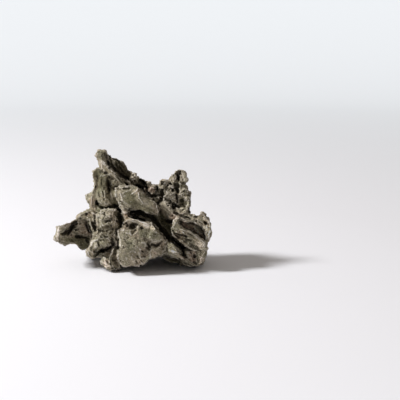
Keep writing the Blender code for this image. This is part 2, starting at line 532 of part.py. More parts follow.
def weather(stone):
    # Lumps all over, with beds, swells and ravines where the front drawing says nothing
    points = read_points(stone.data)
    normals = read_normals(stone.data)
    turned_away = np.clip(1 + TURN_AWAY * normals @ np.array(TOWARD), LEAST_AWAY, 1)
    behind = np.clip((points[:, 1] - BEHIND_START) / BEHIND_RUN, 0, 1)
    out_of_sight = LEAST_BEHIND + (1 - LEAST_BEHIND) * behind
    relief = np.empty(len(points))
    for i, co in enumerate(points):
        p = Vector(co)
        across_beds = p.dot(BED_ACROSS)
        drawn_out = BED_ACROSS * across_beds + (p - BED_ACROSS * across_beds) * STRETCH
        bed = across_beds / BED_SPACING + BED_WAVE * noise.noise(p / BED_WAVE_SPACING)
        ridge = 0.5 - abs(2 * (bed % 1.0) - 1)
        swell = noise.noise(drawn_out / SWELL_SPACING)
        ravine = abs(noise.noise(drawn_out / RAVINE_SPACING + RAVINE_SHIFT))
        hidden = SWELL_HEIGHT * (swell - SWELL_LEVEL)
        hidden -= RAVINE_DEPTH * max(0.0, 1 - ravine / RAVINE_WIDTH)
        relief[i] = LUMP_HEIGHT * noise.fractal(p / LUMP_SPACING, LUMP_SMOOTHNESS, LUMP_RATIO, LUMP_LAYERS)
        relief[i] += turned_away[i] * (BED_HEIGHT * ridge + out_of_sight[i] * hidden)
    write_points(stone.data, points + normals * relief[:, None])


def reduce_facets(stone):
    count = sum(len(face.vertices) - 2 for face in stone.data.polygons)
    decimate = stone.modifiers.new("facets", "DECIMATE")
    decimate.ratio = FACETS / count
    applied(stone)


def cut_flats(stone):
    # What would be under the table is cut away, which leaves the flats that the stone rests on
    bm = bmesh.new()
    bm.from_mesh(stone.data)
    cut = bmesh.ops.bisect_plane(
        bm, geom=bm.verts[:] + bm.edges[:] + bm.faces[:], plane_co=(0, 0, 0), plane_no=(0, 0, 1),
        clear_inner=True)
    rims = [e for e in cut["geom_cut"] if isinstance(e, bmesh.types.BMEdge)]
    bmesh.ops.holes_fill(bm, edges=rims)
    bmesh.ops.triangulate(bm, faces=bm.faces)
    bm.to_mesh(stone.data)
    bm.free()


def set_in_frame(stone):
    # Real size, with the origin under the middle of the stone
    points = read_points(stone.data)
    low = points.min(axis=0)
    high = points.max(axis=0)
    middle = np.array(((low[0] + high[0]) / 2, (low[1] + high[1]) / 2, low[2]))
    scale = MM * STONE_LENGTH / (high[0] - low[0])
    write_points(stone.data, (points - middle) * scale)


def stone_material():
    material = bpy.data.materials.new("grey limestone")
    material.use_nodes = True
    shader = material.node_tree.nodes["Principled BSDF"]
    shader.inputs["Base Color"].default_value = (0.19, 0.17, 0.14, 1)
    shader.inputs["Roughness"].default_value = 0.9
    shader.inputs["Metallic"].default_value = 0.0
    return material


def main():
    for obj in list(bpy.data.objects):
        bpy.data.objects.remove(obj)
    stone = grow_together()
    cut_front(stone)
    weather(stone)
    reskin(stone)
    drop_crumbs(stone)
    reduce_facets(stone)
    cut_flats(stone)
    set_in_frame(stone)
    stone.data.materials.append(stone_material())


main()
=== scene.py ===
# Seiryu stone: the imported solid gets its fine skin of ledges, cracks, scallops and grain, its colours and
# its dirt, and is set on a plain pale floor under soft studio light.
from math import cos, pi, radians, sin

import bmesh
import bpy
import numpy as np
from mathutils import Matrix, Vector, noise
from mathutils.bvhtree import BVHTree


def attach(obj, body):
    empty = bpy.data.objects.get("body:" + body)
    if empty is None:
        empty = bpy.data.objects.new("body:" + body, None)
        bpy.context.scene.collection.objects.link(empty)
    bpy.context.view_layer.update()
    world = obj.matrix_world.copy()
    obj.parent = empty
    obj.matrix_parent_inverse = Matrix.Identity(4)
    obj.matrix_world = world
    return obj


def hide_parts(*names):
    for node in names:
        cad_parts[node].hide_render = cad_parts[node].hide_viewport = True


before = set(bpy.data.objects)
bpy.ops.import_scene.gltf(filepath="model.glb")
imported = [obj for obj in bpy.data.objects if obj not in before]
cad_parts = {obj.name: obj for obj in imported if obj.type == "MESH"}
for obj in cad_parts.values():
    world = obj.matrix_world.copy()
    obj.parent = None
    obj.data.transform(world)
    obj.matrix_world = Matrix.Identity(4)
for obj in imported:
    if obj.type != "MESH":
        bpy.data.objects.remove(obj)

noise.seed_set(3)  # without it the chips tilt another way on each run
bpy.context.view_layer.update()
print("frame loaded")

# The front is drawn as the camera sees it, in the picture's pixels, and sculpting is done at drawn size,
# where a pixel at the aim is a mm.
drawing = {
    "distance": 1200.0,              # from the eye to the aim
    "elevation": radians(10.0),      # of the eye above the floor
    "aim": (67.0, 0.0, 66.8),        # what the middle of the picture shows
    "aimPixel": (200.0, 200.0),      # where that is in the picture, counted down from its top
    "field": 400.0,                  # how much the picture takes in at the aim
    "middle": (0.373, 1.740, 0.0),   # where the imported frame's origin lies
    "metres": 0.00098372,            # a drawn mm at real size
}

elevation = drawing["elevation"]
toward = np.array((0.0, cos(elevation), -sin(elevation)))
trueUp = np.array((0.0, sin(elevation), cos(elevation)))
eye = np.array(drawing["aim"]) - toward * drawing["distance"]

# Where each pattern reads the noise, so that no two are alike
noiseShift = {
    "right": (0, 0, 0),
    "down": (5.2, 1.3, 8.1),
    "breadth": (8.8, 2.1, 4.4),
    "seam": (3.7, 9.1, 2.4),
}


def asDrawn(points):
    # Where each point shows in the picture, and the unit line of sight to it
    sight = points - eye
    reach = drawing["distance"] / (sight @ toward)
    across, down = drawing["aimPixel"]
    drawn = np.column_stack((across + sight[:, 0] * reach, down - (sight @ trueUp) * reach))
    return drawn, sight / np.linalg.norm(sight, axis=1)[:, None]


def readVectors(mesh, name):
    values = np.empty(len(mesh.vertices) * 3)
    mesh.vertices.foreach_get(name, values)
    return values.reshape(-1, 3)


def writePoints(mesh, points):
    mesh.vertices.foreach_set("co", points.ravel())
    mesh.update()


def store(mesh, name, values):
    mesh.attributes.new(name, "FLOAT", "POINT").data.foreach_set("value", values.astype(np.float32))


def applied(obj):
    # The object keeps the mesh that its modifiers make
    graph = bpy.context.evaluated_depsgraph_get()
    mesh = bpy.data.meshes.new_from_object(obj.evaluated_get(graph))
    obj.modifiers.clear()
    obj.data = mesh


def edgePairs(mesh):
    pairs = np.empty(len(mesh.edges) * 2, dtype=np.int32)
    mesh.edges.foreach_get("vertices", pairs)
    return pairs.reshape(-1, 2)


def neighbourMean(values, pairs):
    count = np.bincount(pairs.ravel(), minlength=len(values))
    total = np.empty_like(values)
    for axis in range(values.shape[1]):
        ends = values[:, axis]
        total[:, axis] = np.bincount(pairs[:, 0], ends[pairs[:, 1]], len(values))
        total[:, axis] += np.bincount(pairs[:, 1], ends[pairs[:, 0]], len(values))
    return total / np.maximum(count, 1)[:, None]


def smoothed(values, pairs, rounds):
    for _ in range(rounds):
        values = (values + neighbourMean(values[:, None], pairs)[:, 0]) / 2
    return values


def rayTree(mesh, points):
    return BVHTree.FromPolygons(points.tolist(), [tuple(face.vertices) for face in mesh.polygons])


def sampled(function, points):
    return np.array([function(Vector(point)) for point in points])


def noiseAt(points, spacing=1.0, shift=(0, 0, 0)):
    start = Vector(shift)
    return sampled(lambda p: noise.noise(p / spacing + start), points)


# How the skin is made
skin = {
    "grain": 0.55,             # mm, the net on which the skin is sculpted
    "softening": 5,            # rounds that take the facets' edges off
    "steps": (0.6, -0.62),     # in and out again in each round, so that the size is kept
    "triangles": 192000,
    "frontCare": 0.02,         # how much the front's triangles are kept before the others
    "careLevels": 5,
}


def startSkin():
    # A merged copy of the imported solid, at drawn size, with a fine even net over it
    bm = bmesh.new()
    bm.from_mesh(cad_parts["stone"].data)
    bmesh.ops.remove_doubles(bm, verts=bm.verts, dist=1e-6)
    bmesh.ops.scale(bm, verts=bm.verts, vec=Vector((1, 1, 1)) / drawing["metres"])
    bmesh.ops.translate(bm, verts=bm.verts, vec=drawing["middle"])
    mesh = bpy.data.meshes.new("seiryuStone")
    bm.to_mesh(mesh)
    bm.free()
    stone = bpy.data.objects.new("seiryuStone", mesh)
    bpy.context.scene.collection.objects.link(stone)
    remesh = stone.modifiers.new("net", "REMESH")
    remesh.mode = "VOXEL"
    remesh.voxel_size = skin["grain"]
    applied(stone)
    return stone


def soften(mesh):
    # Takes the facets' edges off
    pairs = edgePairs(mesh)
    points = readVectors(mesh, "co")
    for _ in range(skin["softening"]):
        for step in skin["steps"]:
            points += step * (neighbourMean(points, pairs) - points)
    writePoints(mesh, points)


def reduceSkin(stone, seen):
    # Fewer triangles, taken from where the front doesn't show
    count = sum(len(face.vertices) - 2 for face in stone.data.polygons)
    group = stone.vertex_groups.new(name="lessDetail")
    levels = skin["careLevels"]
    for level in range(1, levels + 1):
        chosen = np.flatnonzero(np.round((1 - seen) * levels) == level)
        group.add(chosen.tolist(), level / levels, "REPLACE")
    decimate = stone.modifiers.new("fewer", "DECIMATE")
    decimate.ratio = min(1.0, skin["triangles"] / count)
    decimate.vertex_group = group.name
    decimate.vertex_group_factor = skin["frontCare"]
    applied(stone)
    stone.vertex_groups.clear()


# Where the outline is pulled into place: pixel, reach, and the pull to the right and down in drawn mm
pulls = [
    ((97.5, 154.5), 6.0, (-1.0, 0.0)),
    ((105.5, 151.0), 5.5, (1.6, -0.6)),
    ((99.0, 148.0), 3.5, (0.0, 0.9)),
    ((92.5, 167.5), 4.5, (1.2, 2.2)),
    ((56, 238), 6.0, (-1.2, 0.6)),
    ((66, 245), 7.0, (0.0, 1.6)),
    ((210.5, 233), 7.0, (-1.0, 0.0)),
]


def pullOutline(mesh):
    points = readVectors(mesh, "co")
    drawn = asDrawn(points)[0]
    for place, reach, (right, down) in pulls:
        share = np.clip(1 - ((drawn - place) ** 2).sum(axis=1) / reach ** 2, 0, 1) ** 2
        points[:, 0] += right * share
        points -= down * share[:, None] * trueUp
    writePoints(mesh, points)


# How the front's drawing is laid on. It is drawn over the picture's own pixels.
front = {
    "share": 0.4,          # of the overall relief, that the drawn front takes
    "offset": 0.4,         # mm from the skin, where a line of sight begins
    "edgeOn": 0.05,        # how little a point may face the viewer and still be seen
    "facing": 3.0,         # how soon it counts in full as it turns to the viewer
    "seenRounds": 3,       # rounds that soften where the seen part ends
    "wander": ((4.1, 0.6), (1.2, 0.3)),  # how a stroke strays: spacing and amount in mm
    "breadth": (3.7, 0.45),              # how a stroke's breadth changes: spacing in mm and share
    "strokeEdge": 1.2,     # how much wider a stroke ends than it is drawn
    "strokeRoom": 1.5,     # how far round a stroke its points are looked for, in its own reaches
    "tintFall": 1.5,       # how much sooner a stroke's colour ends than its shape
    "pitEdge": 1.4,        # where a pit ends, and how long its slope is, in its own half widths
    "pitSlope": 0.8,
    "ridge": 0.75,         # how high and how pale a ridge comes out
    "ridgePale": 1.15,
    "layerShare": 0.55,    # how high and how pale the layers come out
    "layerPale": 0.2,
    "layerSlope": 3.2,     # how steep a layer's edge is
    "layerLevel": 0.4,     # from where its height and its paleness are counted
    "layerPaleLevel": 0.45,
    "zoneFade": 2.0,       # mm over which a zone, a wash or a quiet face begins
    "washFade": 2.2,
    "quietFade": 3.0,
    "washRange": (-2.6, 2.0),  # the darkest painted shade and the palest painted light that the washes make together
}

# Cracks cut in: half width, depth, darkness (the painted shade in the crack), path
cracks = {
    "horn": [
        (1.2, 0.6, 0.5, [(98.3, 150.5), (98.7, 153)]),
        (0.9, 0.5, 0.5, [(97.2, 157), (98, 158.6)]),
        (1.1, 1.4, 0.9, [(105, 153), (106.5, 158), (108.5, 163), (110.5, 166.5)]),
        (1.0, 1.2, 0.8, [(109.5, 155), (110.5, 160), (111.5, 165), (113, 167.5)]),
        (0.6, 0.4, 0.4, [(100.2, 161), (100, 166), (100.6, 170)]),
    ],
    "sail": [
        (1.6, 2.0, 1.2, [(111, 166.5), (114, 169), (117, 171.5), (120.5, 174.5), (124, 177),
                         (127.5, 179.5)]),
        (1.1, 1.6, 1.2, [(117.5, 176.5), (121, 180.5), (124.5, 183.5), (127, 185.3)]),
        (0.9, 0.6, 0.5, [(125, 164.5), (127, 169), (128, 174)]),
        (0.8, 0.6, 0.5, [(115, 160), (116.5, 165), (119, 170)]),
        (0.8, 0.6, 0.4, [(118.5, 161), (120, 167), (122.5, 172)]),
    ],
    "spine": [
        (1.2, 1.2, 1.0, [(102, 170.4), (102.6, 171.6)]),
        (1.1, 1.1, 0.9, [(104.5, 172.5), (107.5, 173.8)]),
        (0.9, 0.8, 0.7, [(96.5, 168.5), (98.5, 169.5), (100.5, 172)]),
        (1.0, 1.0, 1.0, [(99.5, 172), (100.6, 172.8)]),
        (1.4, 0.6, 0.6, [(111, 177), (112.5, 179)]),
        (0.8, 0.5, 0.3, [(110, 174.8), (114, 178), (118, 182.5)]),
        (1.6, 1.6, 1.0, [(111, 186.5), (114, 188), (117.5, 187.6)]),
    ],
    "shoulder": [
        (1.0, 1.8, 1.1, [(107.6, 180), (108.5, 184), (108.4, 187)]),
        (1.3, 2.2, 1.2, [(108.7, 188.5), (108.8, 190.5)]),
        (0.9, 1.0, 0.8, [(107.8, 193), (107.4, 193.8)]),
        (0.8, 0.8, 0.6, [(106, 195), (107, 196.6), (109.5, 199.6), (110.3, 201)]),
        (0.9, 1.0, 0.6, [(103.5, 187.5), (103.8, 189.2)]),
        (0.8, 0.8, 0.4, [(101.5, 180), (101.4, 185), (103, 191), (104, 200)]),
        (0.9, 0.9, 0.6, [(95.5, 184), (96, 187)]),
        (0.7, 0.6, 0.3, [(97.5, 176), (97.2, 182), (98, 190), (99.5, 197)]),
        (0.7, 1.0, 0.7, [(98.5, 203), (101, 205), (103, 207), (105.5, 208)]),
        (0.7, 0.8, 0.5, [(105.5, 208), (109, 207.4), (112.4, 207.4)]),
        (1.0, 1.4, 1.0, [(114, 205.2), (116.5, 206.6), (119, 207.4)]),
        (1.0, 1.4, 1.0, [(95.5, 213.5), (98, 213.6), (101, 212.4)]),
        (0.7, 0.8, 0.6, [(101, 212), (104, 210.8), (107, 209.6)]),
        (0.8, 0.6, 0.6, [(87.6, 195), (88, 195.6)]),
        (1.0, 0.8, 0.8, [(87.8, 202.4), (88.4, 203)]),
        (0.8, 0.6, 0.5, [(89.6, 201), (90.6, 203)]),
    ],
    "shelf": [
        (1.1, 1.1, 0.8, [(124, 188.6), (127, 188.4), (129.6, 188.3)]),
        (0.8, 0.5, 0.4, [(118, 190.6), (121, 190.2), (124, 191.4)]),
        (0.7, 0.4, 0.3, [(133.6, 196.6), (135, 195.6), (136.2, 196.4)]),
        (0.8, 0.4, 0.4, [(140.4, 195.8), (141, 196.8)]),
        (0.7, 0.4, 0.4, [(144.4, 193.4), (145.4, 195)]),
        (0.6, 0.3, 0.25, [(134, 203), (139, 204.6), (146, 208), (152, 210.6)]),
        (0.6, 0.3, 0.25, [(122, 204), (126, 208), (131, 209)]),
        (1.2, 1.6, 1.2, [(130, 209.4), (133, 210.6), (137, 211.6)]),
        (1.6, 1.8, 1.2, [(137, 212), (141, 213), (146, 214.6), (150, 217)]),
        (0.7, 0.7, 0.5, [(126, 214.6), (128.5, 216), (131, 217.5), (136, 217.8), (140, 219)]),
        (1.0, 1.2, 1.0, [(131, 214.8), (135, 215)]),
    ],
    "saddle": [
        (0.8, 0.8, 0.6, [(133.4, 175.2), (134.6, 177.4)]),
        (0.9, 1.0, 0.7, [(130.8, 174.6), (131.6, 176)]),
        (1.6, 2.2, 1.3, [(141, 180.6), (143.6, 183), (145.6, 186), (147.4, 189.4)]),
        (0.9, 1.2, 0.9, [(147, 184), (149.6, 186), (151, 186.6)]),
        (1.6, 2.6, 1.4, [(146.5, 191.5), (149, 195), (152.5, 196.4), (156.4, 195.8)]),
        (1.1, 2.0, 1.1, [(141.6, 189.4), (144.4, 191.2), (147, 194.2)]),
        (1.3, 2.0, 1.1, [(153.6, 193.8), (156.5, 193.6), (159, 194.8)]),
        (1.1, 1.8, 1.1, [(153.4, 197), (153.6, 199.6)]),
        (1.1, 2.0, 1.1, [(156.8, 187), (157, 190.4)]),
        (1.2, 2.2, 1.3, [(162, 190), (162.2, 194), (162.8, 197.6), (161.6, 200)]),
        (1.2, 1.8, 1.1, [(157.4, 202.8), (160.6, 200.8)]),
        (0.8, 1.0, 0.7, [(158, 196), (160.5, 197.6)]),
    ],
    "crust": [
        (1.3, 2.0, 1.2, [(175, 187.4), (176.6, 188.6), (177.6, 191.6)]),
        (1.0, 1.6, 0.9, [(177, 183.6), (178, 187)]),
        (1.1, 2.0, 1.2, [(176.2, 195), (176.4, 199), (177.6, 203)]),
        (1.2, 2.0, 1.1, [(176, 205.4), (179, 206.6)]),
        (1.7, 1.8, 1.1, [(181.4, 200.4), (182, 203.4), (180.8, 204.6)]),
        (0.9, 1.6, 0.9, [(172.6, 206), (173.6, 208)]),
        (1.0, 1.6, 0.9, [(172.4, 204.4), (174.6, 202.4)]),
        (0.9, 1.3, 0.7, [(163.4, 198), (167, 199.6), (169.4, 201)]),
        (0.8, 0.8, 0.5, [(164, 194.6), (167, 195.6), (171, 196)]),
        (0.8, 0.9, 0.6, [(180.4, 195.6), (180.2, 197)]),
        (1.0, 1.0, 0.8, [(189, 193), (189.6, 198), (189.8, 203)]),
        (1.2, 1.6, 1.2, [(189.6, 209), (189.4, 212)]),
        (1.0, 1.2, 0.8, [(188.4, 195), (188.2, 199)]),
        (1.0, 1.5, 0.9, [(174, 212.4), (178, 214.6), (183, 216.6)]),
        (1.2, 1.8, 1.1, [(183.4, 217.4), (186, 217.8), (190, 219)]),
        (0.9, 1.2, 0.8, [(171, 216), (172.6, 215.8)]),
        (1.2, 1.4, 1.1, [(190.5, 213.6), (192.4, 216)]),
    ],
    "secondHorn": [
        (1.5, 2.4, 1.3, [(179, 172), (178.8, 175), (178.9, 178.6)]),
        (1.0, 0.8, 0.7, [(178.6, 171.4), (181.4, 172)]),
        (0.9, 1.0, 0.9, [(181, 182.2), (184, 184), (187, 183.6)]),
    ],
    "chute": [
        (1.1, 1.4, 1.0, [(158.4, 206.6), (159.6, 209.6), (160.4, 212)]),
        (1.3, 1.8, 1.1, [(166.8, 220.6), (169.6, 221.6), (172, 221)]),
        (0.8, 0.9, 0.7, [(170.6, 216.4), (172.6, 216)]),
        (3.0, 1.4, 1.5, [(150, 215), (154, 220), (158, 226), (161.6, 231), (165, 236), (170, 239.4)]),
        (1.7, 2.0, 1.4, [(170, 239.4), (174.5, 242), (178, 245.6), (183, 248), (187, 249.4)]),
        (1.0, 1.8, 1.2, [(187, 249.2), (191, 250.4)]),
        (1.0, 1.4, 1.1, [(172.6, 238), (177.6, 238.8)]),
    ],
    "slab": [
        (1.2, 0.8, 0.7, [(182, 227.6), (186, 228.6), (191, 230.6), (195, 233)]),
        (1.2, 0.8, 0.6, [(197, 234), (200.6, 237), (204, 240.4)]),
        (1.0, 0.8, 0.5, [(179, 222.6), (182, 225.6)]),
        (0.8, 0.7, 0.4, [(206, 219), (208.6, 226), (209, 233)]),
        (0.8, 0.9, 0.7, [(194, 216.6), (196.6, 217)]),
        (0.9, 1.2, 0.9, [(172.6, 230.6), (175, 233.6), (180, 235.2)]),
        (0.9, 1.3, 1.0, [(180, 235.4), (183.6, 235.2), (186.6, 236.4)]),
        (0.9, 1.1, 0.8, [(182, 238.6), (187, 239.6), (191, 240.4)]),
        (0.8, 1.0, 0.6, [(176, 235.6), (180, 238), (184, 240.4)]),
        (0.8, 0.8, 0.4, [(184, 241.6), (190, 243.6), (195, 247)]),
        (1.0, 0.8, 0.6, [(191, 246.6), (195, 248.6), (199, 249.6)]),
        (0.8, 0.8, 0.4, [(188, 233.4), (193, 236.4), (198, 241)]),
        (0.8, 0.7, 0.4, [(196, 246), (200, 250), (201, 255)]),
        (1.2, 2.2, 1.3, [(182.4, 250.4), (184, 254), (185.6, 257.6)]),
        (1.4, 1.0, 0.9, [(193.6, 262), (195.4, 263.4)]),
        (0.8, 0.8, 0.5, [(190, 250.6), (191.6, 255), (193, 259.6)]),
        (0.7, 0.7, 0.4, [(196.6, 252), (197, 257), (198.4, 262)]),
        (1.2, 1.4, 1.2, [(180, 259.6), (186, 263), (191, 266), (195, 267)]),
    ],
    "wedge": [
        (0.8, 0.8, 0.6, [(166.6, 243), (166, 248), (168, 252)]),
        (0.9, 0.8, 0.6, [(162, 244), (163, 249)]),
        (0.8, 0.7, 0.4, [(176, 247), (178, 251), (181, 255)]),
        (2.0, 1.4, 1.3, [(160, 257), (168, 257), (174, 259), (180, 261.6)]),
    ],
    "lobe": [
        (1.1, 1.6, 1.1, [(134, 224.4), (137, 224.6)]),
        (0.8, 0.8, 0.6, [(141.4, 227.6), (142.6, 228.6)]),
        (0.8, 0.9, 0.6, [(136, 230.4), (134, 232.4), (132.6, 234)]),
        (1.2, 1.2, 0.8, [(126.4, 223.4), (127.8, 226)]),
        (1.0, 1.0, 0.6, [(123.6, 224.6), (123.2, 227)]),
        (1.3, 1.6, 1.1, [(152.4, 244.6), (156, 245.6), (159.6, 243.6)]),
        (1.1, 1.2, 0.9, [(159.6, 243), (162, 241.4)]),
        (1.0, 1.2, 0.9, [(147.6, 243.6), (149.4, 245.4), (150, 247)]),
        (1.0, 1.2, 0.9, [(146.6, 247.4), (149, 249)]),
        (0.8, 0.6, 0.4, [(136, 238), (138, 240.6), (137.6, 244)]),
        (0.7, 0.5, 0.3, [(124, 240), (127, 243), (131, 244)]),
    ],
    "boss": [
        (1.1, 1.4, 0.9, [(105.4, 221.8), (107.6, 221), (109.6, 221)]),
        (0.8, 0.8, 0.5, [(108, 223.4), (110.4, 223.6)]),
        (1.3, 0.9, 0.6, [(104.4, 227), (107.6, 226.4)]),
        (1.0, 1.0, 0.7, [(106.6, 231), (108.4, 230.4)]),
        (0.9, 1.2, 0.9, [(99.6, 229), (99.8, 231.6)]),
        (0.8, 0.9, 0.5, [(97.4, 218), (98.6, 224), (98.6, 232)]),
        (1.3, 1.0, 0.7, [(111.6, 228.6), (115, 227.6)]),
        (1.0, 0.9, 0.5, [(111, 233), (114, 231)]),
        (0.8, 0.9, 0.5, [(111.4, 216), (110.4, 222), (111.4, 227)]),
        (0.8, 0.8, 0.4, [(104, 213), (104.6, 216), (103, 219)]),
        (0.8, 1.0, 0.7, [(104, 236), (107, 237)]),
        (1.1, 1.8, 1.1, [(112, 238), (113, 241.4)]),
        (1.0, 1.3, 0.9, [(116.6, 229), (116.6, 235), (116, 239)]),
        (1.0, 1.4, 0.9, [(118, 240), (118.4, 245)]),
        (1.4, 2.0, 1.0, [(118.6, 213.6), (119.8, 217), (120.6, 221), (121.2, 226)]),
        (1.0, 1.5, 1.0, [(117, 221), (118.6, 224)]),
        (1.0, 1.4, 0.9, [(117, 210.6), (116.4, 212.6)]),
    ],
    "arm": [
        (1.4, 2.4, 1.3, [(76, 222.4), (73.4, 223.8), (71, 227), (69.6, 230.6), (68.6, 233.6)]),
        (1.3, 1.2, 1.0, [(68.6, 230.6), (64.6, 231.4), (61.8, 233.6)]),
        (1.0, 0.8, 0.9, [(74.4, 221), (72, 220.6)]),
        (0.9, 1.0, 0.8, [(75.6, 229.4), (78, 229.2)]),
        (0.9, 0.9, 0.7, [(71, 233.6), (72, 234.6)]),
        (1.0, 1.4, 0.9, [(76.4, 236), (80, 237), (85, 237.6), (88.6, 238.6)]),
        (1.3, 1.4, 1.1, [(86.6, 240), (88.4, 241.6)]),
        (1.2, 1.8, 1.2, [(87.6, 222), (88.8, 226), (90, 229.6), (91.6, 232.6)]),
        (1.2, 1.4, 1.0, [(90.6, 232.6), (92.4, 232.4)]),
        (1.0, 1.2, 0.9, [(90, 236), (91.6, 236.6)]),
        (1.0, 1.4, 1.1, [(93.2, 215.2), (94.6, 215.6), (95, 218.4)]),
        (1.3, 1.6, 1.1, [(92.4, 223), (93.4, 226.6), (94.4, 227.6)]),
        (1.1, 1.6, 1.0, [(95, 221), (95.6, 226), (95.4, 231.6)]),
        (0.8, 1.0, 0.7, [(96.6, 233), (97, 236.6)]),
    ],
    "lip": [
        (0.8, 0.8, 0.5, [(91.4, 247.6), (91.6, 250.6)]),
        (0.8, 0.8, 0.6, [(98.6, 243), (98, 247.6)]),
        (0.9, 0.8, 0.5, [(101, 240.4), (103.6, 240)]),
        (1.1, 1.8, 1.1, [(101, 250.6), (104, 249.4), (107.4, 249.6)]),
        (1.0, 1.6, 1.1, [(107.4, 249), (111, 247.4), (114, 243.4)]),
        (1.2, 1.4, 1.0, [(99, 251), (97, 254), (95.6, 256)]),
    ],
    "foot": [
        (1.6, 1.2, 0.8, [(115.6, 249.6), (114.4, 254), (113.6, 258), (115, 262.6), (118, 266)]),
        (1.1, 1.6, 1.1, [(117.6, 245), (117.4, 248)]),
        (1.0, 0.9, 0.7, [(113.6, 251), (113, 255)]),
        (0.8, 0.8, 0.5, [(104.6, 260), (107.6, 261.6), (108.4, 265)]),
        (1.0, 1.0, 0.8, [(110.6, 263.6), (112, 267), (114, 269)]),
    ],
}

